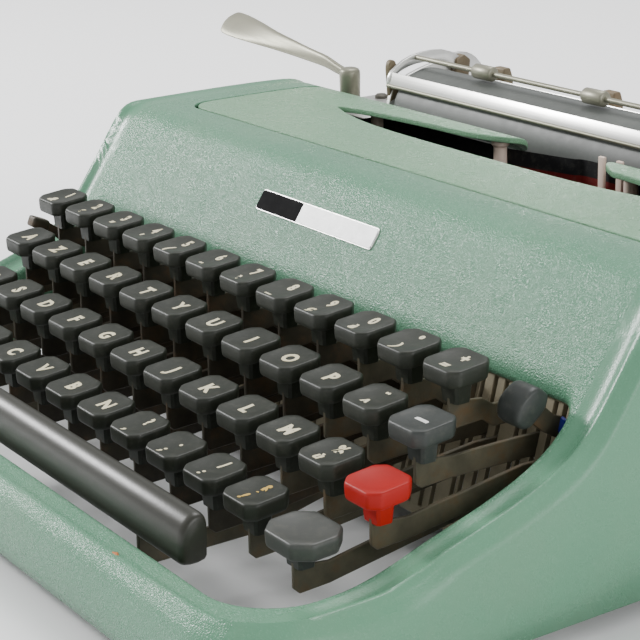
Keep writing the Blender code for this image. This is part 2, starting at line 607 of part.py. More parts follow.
def build_carriage():
    """Sliding carriage: base, end plates, paper table, stop rod and lever housing."""
    ob = box("carriage_frame", PLATE_X0, PLATE_X1, 101.0, 114.0, 61.4, 65.6)
    end = [(69.4, 66.0), (74.0, 61.8), (114.0, 61.4), (116.4, 68.0), (115.0, 86.0), (109.4, 93.0),
           (102.0, 94.4), (94.0, 92.4), (86.0, 90.6), (78.0, 87.8), (72.4, 83.0)]
    for x0 in (PLATE_X0 - 1.0, PLATE_X1 - 1.0):
        union(ob, prism_x("end", end, x0, x0 + 2.0))
    # housing of the line-space mechanism at the left end
    house = rounded(-141.0, PLATE_X0 + 0.2, 67.2, 101.0, (5.0, 0, 0, 6.0), 4)
    union(ob, prism_z("house", house, 63.6, 75.4))
    cut(ob, lathe("pin_hole", [(68.0, 3.4), (90.0, 3.4)], LEVER_PIVOT[:2], "Z", 16))
    # bearings for the platen shaft
    for x0 in (PLATE_X0 - 1.0, PLATE_X1 - 1.0):
        cut(ob, lathe("bore", [(x0 - 4, 3.4), (x0 + 5, 3.4)], (PLATEN_Y, PLATEN_Z), "X", 20))
    # platen release lever at the left end
    union(ob, prism_x("release", [(72.6, 80.0), (75.8, 82.0), (75.4, 92.0), (74.4, 94.6), (72.4, 94.6),
                                  (71.6, 92.0)], PLATE_X0 - 1.6, PLATE_X0 + 0.6))
    # paper table behind the platen
    table = [(101.6, 64.0), (103.2, 64.0), (103.0, 76.0), (106.4, 86.2), (104.8, 86.8), (101.2, 76.4)]
    union(ob, prism_x("table", table, PLATE_X0 + 6.0, PLATE_X1 - 6.0))
    # stop rod with its margin stops
    union(ob, lathe("rod", [(PLATE_X0, 1.3), (PLATE_X1, 1.3)], (112.2, 80.6), "X", 10))
    for x in (-83.0, -25.0, 74.0):
        stop = [(110.4, 78.4), (114.2, 78.4), (114.2, 86.0), (112.8, 90.0), (109.8, 90.0), (109.4, 86.0)]
        union(ob, prism_x("stop", stop, x - 3.0, x + 3.0))
    # shoes that run on the rail
    union(ob, box("shoe_r", 40.0, 100.0, 99.0, 104.5, 60.6, 65.0))
    union(ob, box("shoe_l", -80.0, -20.0, 99.0, 104.5, 60.6, 65.0))
    clean(ob)
    return finish(ob, M_CARR)


def build_platen():
    """Rubber-covered roller with its shaft and the right-hand knob."""
    st = [(PLATE_X0 - 2.4, 3.0), (PLATEN_X0 + 1.0, 3.0), (PLATEN_X0 + 1.0, PLATEN_R - 0.6),
          (PLATEN_X0 + 1.8, PLATEN_R), (PLATEN_X1 - 0.8, PLATEN_R), (PLATEN_X1, PLATEN_R - 0.6),
          (PLATEN_X1, 3.0), (PLATE_X1 + 4.0, 3.0), (PLATE_X1 + 4.0, 12.4), (PLATE_X1 + 6.0, 14.8),
          (PLATE_X1 + 20.0, 15.8), (PLATE_X1 + 23.0, 14.4), (PLATE_X1 + 24.0, 11.4)]
    ob = lathe("platen", st, (PLATEN_Y, PLATEN_Z), "X", 36)
    # finger grooves of the knob
    for i in range(12):
        a = 2 * math.pi * i / 12
        cy, cz = PLATEN_Y + 17.4 * math.cos(a), PLATEN_Z + 17.4 * math.sin(a)
        cut(ob, lathe("flute", [(PLATE_X1 + 7.0, 2.6), (PLATE_X1 + 26.0, 2.6)], (cy, cz), "X", 8))
    clean(ob)
    return finish(ob, M_PLATEN, (0.0, PLATEN_Y, PLATEN_Z))


def build_return_lever():
    """Carriage return lever: pivot pin, knuckle and an arm that twists into a broad paddle."""
    px, py, _ = LEVER_PIVOT
    ob = lathe("return_lever", [(70.0, 3.0), (75.8, 3.0), (75.8, 4.2), (86.6, 4.7), (88.2, 4.4), (88.8, 3.4)],
               (px, py), "Z", 20)
    path = [(-1.5, 0.0, 86.2), (-8.0, -0.2, 87.6), (-15.0, -0.4, 89.2), (-26.0, -0.7, 90.4), (-38.0, -0.9, 91.7),
            (-50.0, -1.1, 92.9), (-62.0, -1.2, 94.2), (-74.0, -1.3, 95.4), (-80.4, -1.4, 96.1), (-82.8, -1.4, 96.4)]
    widths = [1.7, 1.9, 2.2, 2.5, 3.0, 3.7, 4.6, 5.4, 5.2, 3.4]
    leans = [0.0, 4.0, 8.0, 16.0, 26.0, 36.0, 45.0, 52.0, 53.0, 53.0]
    rings = []
    for (dx, dy, z), hw, lean in zip(path, widths, leans):
        a = math.radians(lean)
        uy, uz = math.sin(a), math.cos(a)
        th = 1.5 - 0.075 * abs(dx) ** 0.5
        ring = []
        for u, v in ((1, 0.35), (0.5, 1), (-0.5, 1), (-1, 0.35), (-1, -0.35), (-0.5, -1), (0.5, -1), (1, -0.35)):
            ring.append((px + dx, py + dy + uy * hw * u + uz * th * v, z + uz * hw * u - uy * th * v))
        rings.append(ring)
    union(ob, loft("arm", rings))
    clean(ob)
    return finish(ob, M_LEVER, LEVER_PIVOT)


def build_bail():
    """Paper bail: flat bar in front of the platen and two rollers on a rod, on swinging arms."""
    bx0, bx1 = PLATE_X0 + 2.0, PLATE_X1 - 2.0
    bar = [(69.2, 86.3), (70.2, 86.0), (72.0, 90.8), (71.0, 91.3)]
    ob = prism_x("paper_bail", bar, bx0, bx1)
    arm = [(69.4, 86.6), (70.8, 91.4), (80.0, 96.2), (94.0, 96.8), (104.0, 92.0), (108.4, 87.4),
           (108.0, 81.6), (104.0, 80.0), (100.6, 82.0), (100.4, 87.6), (93.0, 92.4), (82.0, 93.0),
           (73.4, 90.4), (71.0, 86.6)]
    for x0 in (bx0, bx1 - 1.4):
        union(ob, prism_x("arm", arm, x0, x0 + 1.4))
    union(ob, lathe("rod", [(bx0 + 0.4, 0.9), (bx1 - 0.4, 0.9)], (82.0, 95.3), "X", 8))
    for x in (-57.0, -1.0, 56.0):
        union(ob, lathe("roller", [(x - 5.0, 1.8), (x - 4.4, 3.0), (x + 4.4, 3.0), (x + 5.0, 1.8)],
                        (82.0, 95.3), "X", 16))
    clean(ob)
    return finish(ob, M_BAIL, BAIL_PIVOT)


build_casing()
build_cover()
build_mechanism()
build_spool("left_spool", -98.0, M_SPOOL)
build_spool("right_spool", 98.0, M_SPOOL2)
build_carriage()
build_platen()
build_return_lever()
build_bail()
build_selector()
build_set_lever()
build_keys()
build_shift()
build_space_bar()

for ob in bpy.data.objects:
    ob.location += ORIGIN * MM
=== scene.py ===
"""Portable typewriter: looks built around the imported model."""
import math
import bmesh
import bpy
from mathutils import Matrix, Vector


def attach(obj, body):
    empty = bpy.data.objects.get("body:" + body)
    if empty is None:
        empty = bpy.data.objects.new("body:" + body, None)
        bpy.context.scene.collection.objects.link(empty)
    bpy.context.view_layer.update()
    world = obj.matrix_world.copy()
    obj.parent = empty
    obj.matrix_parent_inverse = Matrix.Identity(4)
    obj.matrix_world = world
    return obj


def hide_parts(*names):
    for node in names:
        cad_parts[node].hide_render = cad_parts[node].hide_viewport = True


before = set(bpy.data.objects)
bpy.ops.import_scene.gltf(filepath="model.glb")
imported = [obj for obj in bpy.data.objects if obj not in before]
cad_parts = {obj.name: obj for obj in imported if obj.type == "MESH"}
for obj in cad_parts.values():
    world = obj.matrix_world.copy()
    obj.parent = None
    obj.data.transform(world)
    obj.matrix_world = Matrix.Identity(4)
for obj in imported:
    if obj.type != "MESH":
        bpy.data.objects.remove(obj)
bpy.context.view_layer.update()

MM = 0.001
ORIGIN = Vector((29.3, -8.9, 0.0))      # the machine's datum in the frame, in mm


def new_object(name, data):
    ob = bpy.data.objects.new(name, data)
    bpy.context.scene.collection.objects.link(ob)
    return ob


def evaluated_mesh(ob):
    """The mesh that an object's curve or modifiers give."""
    bpy.context.view_layer.update()
    graph = bpy.context.evaluated_depsgraph_get()
    return bpy.data.meshes.new_from_object(ob.evaluated_get(graph))


# ---- materials ---------------------------------------------------------
class Nodes:
    """A short way to write a node tree."""
    def __init__(self, name, rough=0.5, metal=0.0, **sockets):
        self.mat = bpy.data.materials.new(name)
        self.mat.use_nodes = True
        self.tree = self.mat.node_tree
        self.bsdf = self.tree.nodes["Principled BSDF"]
        self.bsdf.inputs["Roughness"].default_value = rough
        self.bsdf.inputs["Metallic"].default_value = metal
        for key, value in sockets.items():
            self.bsdf.inputs[key.replace("_", " ")].default_value = value
        self.coord = self.tree.nodes.new("ShaderNodeTexCoord").outputs["Object"]

    def add(self, kind, values=(), **links):
        node = self.tree.nodes.new("ShaderNode" + kind)
        for key, value in dict(values).items():
            if isinstance(key, str) and hasattr(node, key) and key.islower():
                setattr(node, key, value)
            else:
                node.inputs[key].default_value = value
        for key, out in links.items():
            self.tree.links.new(out, node.inputs[key.replace("_", " ")])
        return node

    def scaled(self, sx, sy, sz):
        m = self.add("Mapping", Vector=self.coord)
        m.inputs["Scale"].default_value = (sx, sy, sz)
        return m.outputs["Vector"]

    def noise(self, scale, detail=3.0, rough=0.5, vector=None):
        return self.add("TexNoise", {"Scale": scale, "Detail": detail, "Roughness": rough},
                        Vector=vector or self.coord).outputs["Fac"]

    def voronoi(self, scale):
        n = self.add("TexVoronoi", {"feature": "SMOOTH_F1"}, Vector=self.coord)
        n.inputs["Scale"].default_value = scale
        return n.outputs["Distance"]

    def ramp(self, fac, stops):
        n = self.add("ValToRGB", Fac=fac)
        el = n.color_ramp.elements
        while len(el) < len(stops):
            el.new(0.5)
        for e, (pos, col) in zip(el, stops):
            e.position = pos
            c = col if isinstance(col, tuple) else (col, col, col)
            e.color = (*c, 1)
        return n.outputs["Color"]

    def mix(self, fac, a, b, mode="MIX"):
        n = self.tree.nodes.new("ShaderNodeMix")
        n.data_type = "RGBA"
        n.blend_type = mode
        for key, v in ((0, fac), (6, a), (7, b)):
            if isinstance(v, bpy.types.NodeSocket):
                self.tree.links.new(v, n.inputs[key])
            else:
                n.inputs[key].default_value = (*v, 1) if isinstance(v, tuple) else v
        return n.outputs[2]

    def math(self, op, a, b=0.0):
        n = self.tree.nodes.new("ShaderNodeMath")
        n.operation = op
        for i, v in enumerate((a, b)):
            if isinstance(v, bpy.types.NodeSocket):
                self.tree.links.new(v, n.inputs[i])
            else:
                n.inputs[i].default_value = v
        return n.outputs[0]

    def patches(self, scale, detail, rough, low, high):
        """Mask of soft-edged spots: noise, 0 below low and 1 above high."""
        return self.ramp(self.noise(scale, detail, rough), [(low, 0.0), (high, 1.0)])

    def tint(self, col, mask, amount, shade):
        """Lays shade over col where mask is bright, at most by amount."""
        return self.mix(self.math("MULTIPLY", mask, amount), col, shade)

    def color(self, out):
        self.tree.links.new(out, self.bsdf.inputs["Base Color"])

    def rough(self, out, low, high):
        m = self.add("MapRange", {"To Min": low, "To Max": high}, Value=out)
        self.tree.links.new(m.outputs[0], self.bsdf.inputs["Roughness"])

    def bump(self, *layers):
        """Layers of (height, distance in metres, strength)."""
        last = None
        for height, dist, strength in layers:
            b = self.add("Bump", {"Distance": dist, "Strength": strength}, Height=height)
            if last:
                self.tree.links.new(last, b.inputs["Normal"])
            last = b.outputs["Normal"]
        self.tree.links.new(last, self.bsdf.inputs["Normal"])

    def axis(self, i):
        return self.add("SeparateXYZ", Vector=self.coord).outputs[i]


RIM_START = 0.1262      # from the machine's middle to its side rims, in metres


def enamel(name, base, light):
    """Baked wrinkle enamel: fine pebbles, slightly uneven tint, worn and grimy spots, and painted glints:
    light specks laid into the colour.
    """
    n = Nodes(name, rough=0.34, Specular_IOR_Level=0.34)
    col = n.mix(n.patches(9.0, 3.0, 0.5, 0.35, 0.7), base, light)
    col = n.tint(col, n.patches(640.0, 2.0, 0.6, 0.73, 0.78), 0.25, tuple(v * 0.6 for v in base))
    col = n.tint(col, n.patches(34.0, 6.0, 0.65, 0.45, 0.8), 0.16, (0.20, 0.24, 0.17))
    # the sprayed grain and its painted glints, light specks laid into the colour, thin out over the side
    # rims
    painted_glint = n.patches(2300.0, 1.0, 0.4, 0.60, 0.72)
    from_middle = n.math("ABSOLUTE", n.math("SUBTRACT", n.axis(0), ORIGIN.x * MM))
    grain = n.math("SUBTRACT", 1.0, n.math("MULTIPLY", n.math("GREATER_THAN", from_middle, RIM_START), 0.8))
    col = n.tint(col, n.math("MULTIPLY", painted_glint, grain), 0.34, (0.46, 0.70, 0.55))
    n.color(col)
    n.rough(n.noise(150.0, 3.0), 0.22, 0.34)
    n.bump((n.math("MULTIPLY", n.voronoi(2500.0), grain), 0.0002, 0.9),
           (n.math("MULTIPLY", n.noise(2700.0, 1.0, 0.5), grain), 0.00018, 0.9))
    return n.mat


def key_finish(name, base, light, rough=(0.24, 0.42), dust=(0.16, 0.15, 0.12), amount=0.22, spec=0.4):
    """Moulded key plastic with a handled sheen and settled dust."""
    n = Nodes(name, rough=0.32, Specular_IOR_Level=spec)
    col = n.mix(n.patches(60.0, 3.0, 0.5, 0.3, 0.75), base, light)
    n.color(n.tint(col, n.patches(420.0, 5.0, 0.7, 0.5, 0.78), amount, dust))
    n.rough(n.noise(230.0, 4.0, 0.6), *rough)
    n.bump((n.noise(1500.0, 2.0), 0.00005, 0.3), (n.noise(260.0, 3.0), 0.00008, 0.25))
    return n.mat


def old_metal(name, base, light, rust=(0.16, 0.07, 0.025), rusty=0.3, metal=0.65, rough=(0.42, 0.68)):
    """Plated steel, dulled by dust and spotted with rust."""
    n = Nodes(name, rough=0.5, metal=metal)
    shade = n.noise(1.6, 5.0, 0.6, n.scaled(60.0, 60.0, 60.0))
    col = n.mix(n.ramp(shade, [(0.3, 0.0), (0.72, 1.0)]), base, light)
    spots = n.patches(95.0, 6.0, 0.72, 0.52, 0.68)
    n.color(n.tint(col, spots, rusty, rust))
    n.rough(n.noise(310.0, 4.0, 0.6), *rough)
    n.bump((n.noise(900.0, 4.0, 0.65), 0.00012, 0.35), (spots, 0.0001, 0.3))
    return n.mat


def bright_metal(name, base, light, rough=(0.2, 0.38), metal=0.9):
    """Brushed or plated metal with a fine grain along X and a few smears."""
    n = Nodes(name, rough=0.3, metal=metal)
    col = n.mix(n.patches(24.0, 4.0, 0.5, 0.3, 0.75), base, light)
    n.color(n.tint(col, n.patches(70.0, 6.0, 0.7, 0.55, 0.8), 0.35, tuple(v * 0.55 for v in base)))
    lines = n.noise(1.0, 2.0, 0.5, n.scaled(18.0, 1500.0, 1500.0))
    n.rough(lines, *rough)
    n.bump((lines, 0.00003, 0.25))
    return n.mat


DULL = (0.6, 0.8)       # roughness range of rubber and cloth
M = {
    "case": enamel("teal_enamel", (0.088, 0.232, 0.139), (0.112, 0.270, 0.165)),
    # the cover wears the casing's enamel made lighter and yellower, painted light on the top surface
    "cover": enamel("teal_enamel_painted_lighter_top", (0.150, 0.310, 0.178), (0.178, 0.350, 0.206)),
    "cap": key_finish("olive_grey_plastic", (0.012, 0.0145, 0.0095), (0.019, 0.022, 0.015), (0.36, 0.52),
                      amount=0.14, spec=0.34),
    "legend": key_finish("cream_filling", (0.62, 0.56, 0.36), (0.76, 0.71, 0.52), (0.4, 0.6),
                         (0.35, 0.29, 0.14), 0.35),
    "white": key_finish("white_filling", (0.74, 0.74, 0.7), (0.82, 0.82, 0.78), (0.4, 0.6),
                        (0.5, 0.5, 0.45), 0.2),
    "ochre": key_finish("ochre_filling", (0.46, 0.30, 0.06), (0.60, 0.42, 0.12), (0.4, 0.6),
                        (0.3, 0.2, 0.06), 0.35),
    "bar": key_finish("brown_grey_plastic", (0.018, 0.018, 0.012), (0.022, 0.022, 0.0155), (0.33, 0.41),
                      amount=0.05, spec=0.45),
    "slate": key_finish("slate_grey_plastic", (0.026, 0.030, 0.027), (0.036, 0.041, 0.038), (0.34, 0.5),
                        spec=0.34),
    # the shift caps get a lighter copy of the slate plastic
    "shift": key_finish("lighter_slate_plastic", (0.040, 0.043, 0.038), (0.056, 0.059, 0.053), (0.34, 0.5)),
    "red": key_finish("red_plastic", (0.30, 0.008, 0.006), (0.37, 0.012, 0.009), (0.36, 0.48),
                      (0.22, 0.03, 0.02), 0.12, 0.2),
    "lever": old_metal("blackened_lever_steel", (0.024, 0.020, 0.013), (0.06, 0.050, 0.031), metal=0.3),
    "rusty": old_metal("rusted_lever_steel", (0.050, 0.044, 0.028), (0.11, 0.097, 0.062),
                       (0.12, 0.062, 0.022), 0.6, 0.2),
    "comb": old_metal("dusty_comb_plate", (0.18, 0.155, 0.10), (0.31, 0.27, 0.18),
                      (0.14, 0.105, 0.055), 0.5, 0.15, (0.5, 0.75)),
    "steel": old_metal("dull_steel", (0.09, 0.085, 0.072), (0.16, 0.15, 0.13), rusty=0.25),
    "brown": old_metal("brown_lever_paint", (0.10, 0.075, 0.04), (0.19, 0.15, 0.09), rusty=0.4, metal=0.15),
    "silver": bright_metal("satin_aluminium", (0.62, 0.62, 0.6), (0.74, 0.74, 0.71), (0.3, 0.46)),
    "chrome": bright_metal("polished_plate", (0.66, 0.66, 0.63), (0.78, 0.78, 0.75), (0.26, 0.38)),
    "olive": bright_metal("olive_grey_metal", (0.22, 0.215, 0.16), (0.31, 0.30, 0.235), (0.36, 0.52), 0.55),
    "brass": bright_metal("pinkish_brass", (0.74, 0.58, 0.48), (0.84, 0.70, 0.60), (0.3, 0.45), 0.1),
    "flange": old_metal("blackened_flange", (0.028, 0.027, 0.024), (0.06, 0.057, 0.05), rusty=0.25,
                        metal=0.5),
    "rubber": key_finish("platen_rubber_grey", (0.075, 0.082, 0.076), (0.11, 0.118, 0.11), (0.4, 0.56),
                         (0.16, 0.16, 0.15), 0.25),
    "type": old_metal("blackened_type_steel", (0.010, 0.0095, 0.009), (0.024, 0.022, 0.02), rusty=0.15),
    "knob": key_finish("knob_plastic", (0.03, 0.032, 0.03), (0.045, 0.047, 0.044), (0.3, 0.44)),
    "foot": key_finish("foot_rubber", (0.02, 0.02, 0.02), (0.035, 0.035, 0.035), DULL),
    "ribbon": key_finish("ribbon_black", (0.006, 0.006, 0.007), (0.012, 0.012, 0.013), DULL, spec=0.2),
    "ribbon_red": key_finish("ribbon_red", (0.10, 0.005, 0.004), (0.14, 0.009, 0.007), DULL, spec=0.2),
    "badge_dark": key_finish("badge_black", (0.004, 0.004, 0.0045), (0.007, 0.007, 0.0075), (0.62, 0.75),
                             amount=0.04, spec=0.04),
    "badge_light": key_finish("badge_white", (0.70, 0.71, 0.70), (0.78, 0.79, 0.78), (0.22, 0.34)),
    "blue": key_finish("blue_paint_dab", (0.008, 0.016, 0.17), (0.012, 0.024, 0.24), (0.35, 0.5)),
    "chip": key_finish("primer_showing", (0.40, 0.12, 0.03), (0.52, 0.18, 0.05), (0.5, 0.7)),
}


# ---- mesh building -----------------------------------------------------
def catmull(pts, per=4, closed=False):
    """Points on a smooth curve through pts."""
    n = len(pts)
    out = []
    for i in range(n if closed else n - 1):
        p = [pts[(i + k) % n] if closed else pts[min(max(i + k, 0), n - 1)] for k in (-1, 0, 1, 2)]
        for s in range(per):
            t = s / per
            out.append(tuple(0.5 * (2 * b + (c - a) * t + (2 * a - 5 * b + 4 * c - d) * t * t
                                    + (3 * b - a - 3 * c + d) * t ** 3) for a, b, c, d in zip(*p)))
    return out if closed else out + [tuple(pts[-1])]


def smooth_loop(pts):
    return catmull(pts, 3, True)


def arc_pts(cx, cy, r, a0, a1, n):
    """n + 1 points on an arc; the angles are in degrees."""
    angles = [math.radians(a0 + (a1 - a0) * i / n) for i in range(n + 1)]
    return [(cx + r * math.cos(a), cy + r * math.sin(a)) for a in angles]


def line_pts(a, b, n):
    return [(a[0] + (b[0] - a[0]) * i / n, a[1] + (b[1] - a[1]) * i / n) for i in range(n + 1)]


def chain(*parts):
    """Joins point lists; each starts where the one before ends."""
    out = []
    for pts in parts:
        out += pts[1:] if out else pts
    return out


def mirrored(half):
    """Closed outline from its right half, whose ends are on the middle line."""
    return half + [(-x, y) for x, y in half[-2:0:-1]]


def bm_loft(rings, closed=True, caps=True, loop=False):
    """Skin through rings of equal length; rings are closed unless told."""
    bm = bmesh.new()
    grid = [[bm.verts.new(p) for p in r] for r in rings]
    n = len(rings[0])
    pairs = list(zip(grid, grid[1:])) + ([(grid[-1], grid[0])] if loop else [])
    for a, b in pairs:
        for i in range(n if closed else n - 1):
            j = (i + 1) % n
            bm.faces.new((a[i], a[j], b[j], b[i]))
    if caps and not loop:
        bm.faces.new(grid[0][::-1])
        bm.faces.new(grid[-1])
    bmesh.ops.recalc_face_normals(bm, faces=bm.faces)
    return bm


PUT = {"X": lambda u, v, w: (w, u, v), "Z": lambda u, v, w: (u, v, w)}


def bm_prism(outline, a, b, axis="X"):
    """Outline extruded from a to b along axis; the outline holds the other two coordinates."""
    return bm_loft([[PUT[axis](u, v, w) for u, v in outline] for w in (a, b)])


def bm_box(x0, x1, y0, y1, z0, z1):
    return bm_prism([(x0, y0), (x1, y0), (x1, y1), (x0, y1)], z0, z1, "Z")


def bm_lathe(stations, centre, axis, seg=40):
    """Turned part: stations are (position along axis, radius)."""
    rings = []
    for w, r in stations:
        circle = arc_pts(*centre, r, 0, 360, seg)[:-1]
        rings.append([PUT[axis](u, v, w) for u, v in circle])
    return bm_loft(rings)


def bevel(bm, width, seg=2, limit=32.0):
    edges = [e for e in bm.edges if e.is_manifold and e.calc_face_angle(0.0) > math.radians(limit)]
    if edges:
        bmesh.ops.bevel(bm, geom=edges, offset=width, segments=seg, profile=0.5, affect="EDGES",
                        clamp_overlap=True)
    return bm


class Piece:
    """One visible piece: several solids and materials in one mesh."""
    def __init__(self, name):
        self.name, self.bm, self.slots = name, bmesh.new(), []

    def add(self, bm, mat, width=0.0, seg=2):
        if width:
            bevel(bm, width, seg)
        if mat not in self.slots:
            self.slots.append(mat)
        for f in bm.faces:
            f.material_index = self.slots.index(mat)
            f.smooth = True
        me = bpy.data.meshes.new("part")
        bm.to_mesh(me)
        bm.free()
        self.bm.from_mesh(me)
        bpy.data.meshes.remove(me)
        return self

    def done(self, body, slot, *nodes, angle=38.0):
        for v in self.bm.verts:
            v.co = (v.co + ORIGIN) * MM
        me = bpy.data.meshes.new(self.name)
        self.bm.to_mesh(me)
        self.bm.free()
        for m in self.slots:
            me.materials.append(M[m])
        me.set_sharp_from_angle(angle=math.radians(angle))
        ob = new_object(self.name, me)
        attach(ob, body)
        if nodes:
            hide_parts(*nodes)
        return ob


# ---- casing surface ----------------------------------------------------
CASE_X, CORNER, REAR_CORNER = 139, 24, 16
CASE_FRONT, CASE_REAR, CASE_BOTTOM = -143.8, 161.6, 5
FRONT_BEND = -119       # forward of here the wall pulls in towards its bottom edge
CONTOUR = [
    (-143.8, 14.5), (-143.7, 18.6), (-143.2, 21.6), (-142, 23.7),
    (-139.8, 24.7), (-136.5, 24.9), (-131, 24.9), (-115, 24.9), (-104, 25.5), (-93, 27.9),
    (-83, 31), (-73, 33.9), (-64, 36.7), (-55, 40.1), (-48.5, 43.4), (-44, 46.5),
    (-41, 49.4), (-38.2, 52.7), (-35.6, 56.2), (-30.4, 63.7), (-25, 71.7), (-20.4, 78.5),
    (-18, 81.6), (-15.2, 83.8), (-11.5, 85.1), (-6, 85.6), (8, 85.9), (34, 86),
    (50, 85.6), (56.5, 84.5), (60.8, 81.6), (63, 77), (64.2, 70), (65.6, 64),
    (68.5, 60.4), (74, 59.1), (84, 59), (112, 58.6), (144, 57), (153, 54.8),
    (158.6, 50), (161, 43), (161.6, 31)]
TOP = catmull(CONTOUR, 6)


def ramp(v, a, b):
    """0 below a, 1 above b, straight between."""
    return min(1, max(0, (v - a) / (b - a)))


def smooth01(v, a, b):
    t = ramp(v, a, b)
    return t * t * (3 - 2 * t)


def arc_in(d, r):
    """How far an edge of radius r falls away at a distance d from the side."""
    return 0 if d >= r else r - math.sqrt(max(0, r * r - (r - d) ** 2))


def contour_height(y):
    """Height of the casing's middle contour at y."""
    lo, hi = 0, len(TOP) - 1
    if y <= TOP[0][0]:
        return TOP[0][1]
    if y >= TOP[-1][0]:
        return TOP[-1][1]
    while hi - lo > 1:
        mid = (lo + hi) // 2
        if TOP[mid][0] <= y:
            lo = mid
        else:
            hi = mid
    (ya, za), (yb, zb) = TOP[lo], TOP[hi]
    return za if yb - ya < 1e-9 else za + (zb - za) * (y - ya) / (yb - ya)


def case_height(x, y):
    """Height of the casing's outer surface over a point of its plan."""
    d = max(0, CASE_X - abs(x))
    front, rear = arc_in(d, CORNER), arc_in(d, REAR_CORNER)
    v = y
    for _ in range(12):
        v = y - front * (1 - ramp(v, -122, -84)) + rear * ramp(v, 112, 140)
    z = contour_height(v)
    bead = (2.1 * math.exp(-((d - 4.6) / 1.5) ** 2) - 0.7 * math.exp(-((d - 9.4) / 2.6) ** 2))
    bead *= 1 - 0.85 * ramp(v, -20, -8)
    cx, cy = CASE_X - CORNER, CASE_FRONT + CORNER
    if y < cy:
        e = CORNER - math.hypot(abs(x) - cx, cy - y) if abs(x) > cx else y - CASE_FRONT
        bead = (2.1 - 1.2 * smooth01(cx - abs(x), 0, 30)) * math.exp(-((e - 4.6) / 1.5) ** 2)
    return z + (bead - arc_in(d, 4.6)) * ramp(z, 17, 24)


SPLIT = -25       # plan line where the keyboard and carriage halves of the skin meet
LEG = 9


def block(inner, outer, shares, rim, floor):
    """Skin between an opening and the casing's outline, with a rounded rim and a turned-down flange.

    One column of points for each point of the openings' outline; shares are the steps on its way
    from outer to inner, and floor(x, y, top) is how deep the flange goes."""
    cols = []
    for i in range(len(inner)):
        p, q = Vector(inner[i]), Vector(outer[i])
        t = (Vector(inner[(i + 1) % len(inner)]) - Vector(inner[i - 1])).normalized()
        nrm = Vector((t.y, -t.x))
        if nrm.dot(q - p) < 0:
            nrm = -nrm
        col = []
        start = p + nrm * rim
        for f in shares:
            w = start.lerp(q, 1 - f)
            col.append((w.x, w.y, case_height(w.x, w.y)))
        for th in (22.5, 45, 67.5, 90):
            s, c = math.sin(math.radians(th)), math.cos(math.radians(th))
            w = p + nrm * rim * (1 - s)
            col.append((w.x, w.y, case_height(w.x, w.y) - rim * (1 - c)))
        top = col[-1][2]
        low = min(floor(p.x, p.y, top), top - 0.8)
        for f in (0.35, 1):
            col.append((p.x, p.y, top + (low - top) * f))
        cols.append(col)
    return cols


def seam(side):
    """Right half of the line where the halves of the skin meet, and its turn along the casing's side."""
    return chain(line_pts((0, SPLIT), (CASE_X - LEG, SPLIT), 30),
                 line_pts((CASE_X - LEG, SPLIT), (CASE_X, SPLIT), 4),
                 line_pts((CASE_X, SPLIT), (CASE_X, SPLIT + side * LEG), 4))


def keyboard_skin():
    """Columns of the skin around the keyboard opening."""
    ix, y0, y1, r0, r1 = 124, -131, -35, 18, 5
    inner = chain(line_pts((0, y1), (ix - r1, y1), 30), arc_pts(ix - r1, y1 - r1, r1, 90, 0, 8),
                  line_pts((ix, y1 - r1), (ix, y0 + r0), 34), arc_pts(ix - r0, y0 + r0, r0, 0, -90, 12),
                  line_pts((ix - r0, y0), (0, y0), 20))
    cx, cy = CASE_X - CORNER, CASE_FRONT + CORNER
    outer = chain(seam(-1), line_pts((CASE_X, SPLIT - LEG), (CASE_X, cy), 34),
                  arc_pts(cx, cy, CORNER, 0, -90, 12), line_pts((cx, CASE_FRONT), (0, CASE_FRONT), 20))
    shares = (0, .018, .05, .1, .16, .23, .3, .38, .46, .54, .62, .7, .78, .86, .93, 1)
    flange = 11

    def floor(x, y, top):
        return flange + (top - 2.4 - flange) * smooth01(y, -40.5, -35.5)
    return block(mirrored(inner), mirrored(outer), shares, 1.7, floor)


def carriage_skin():
    """Columns of the skin around the opening under cover and carriage, close-set where it steps down."""
    wx, w0, w1, q0, q1 = 118, -1.5, 128, 9, 6
    run_in = [w0 + q0, 14, 22, 30, 38, 45, 50, 53, 55, 57, 58.5, 59.8, 60.8, 61.6, 62.4, 63.1, 63.8, 64.6,
              65.6, 67, 69, 72, 76, 82, 90, 98, 106, 114, w1 - q1]
    cx, cy = CASE_X - REAR_CORNER, CASE_REAR - REAR_CORNER
    run_out = [SPLIT + LEG, -4, 10, 24, 36, 45] + run_in[6:24] + [92, 103, 116, 131, cy]
    inner = chain(line_pts((0, w0), (wx - q0, w0), 30), arc_pts(wx - q0, w0 + q0, q0, -90, 0, 8),
                  [(wx, y) for y in run_in], arc_pts(wx - q1, w1 - q1, q1, 0, 90, 8),
                  line_pts((wx - q1, w1), (0, w1), 12))
    outer = chain(seam(1), [(CASE_X, y) for y in run_out], arc_pts(cx, cy, REAR_CORNER, 0, 90, 8),
                  line_pts((cx, CASE_REAR), (0, CASE_REAR), 12))
    shares = (0, .012, .035, .07, .11, .155, .2, .24, .28, .32, .36, .4, .45, .5, .56, .62, .69, .76,
              .83, .9, .96, 1)
    return block(mirrored(inner), mirrored(outer), shares, 0.3, lambda x, y, top: top - 2)


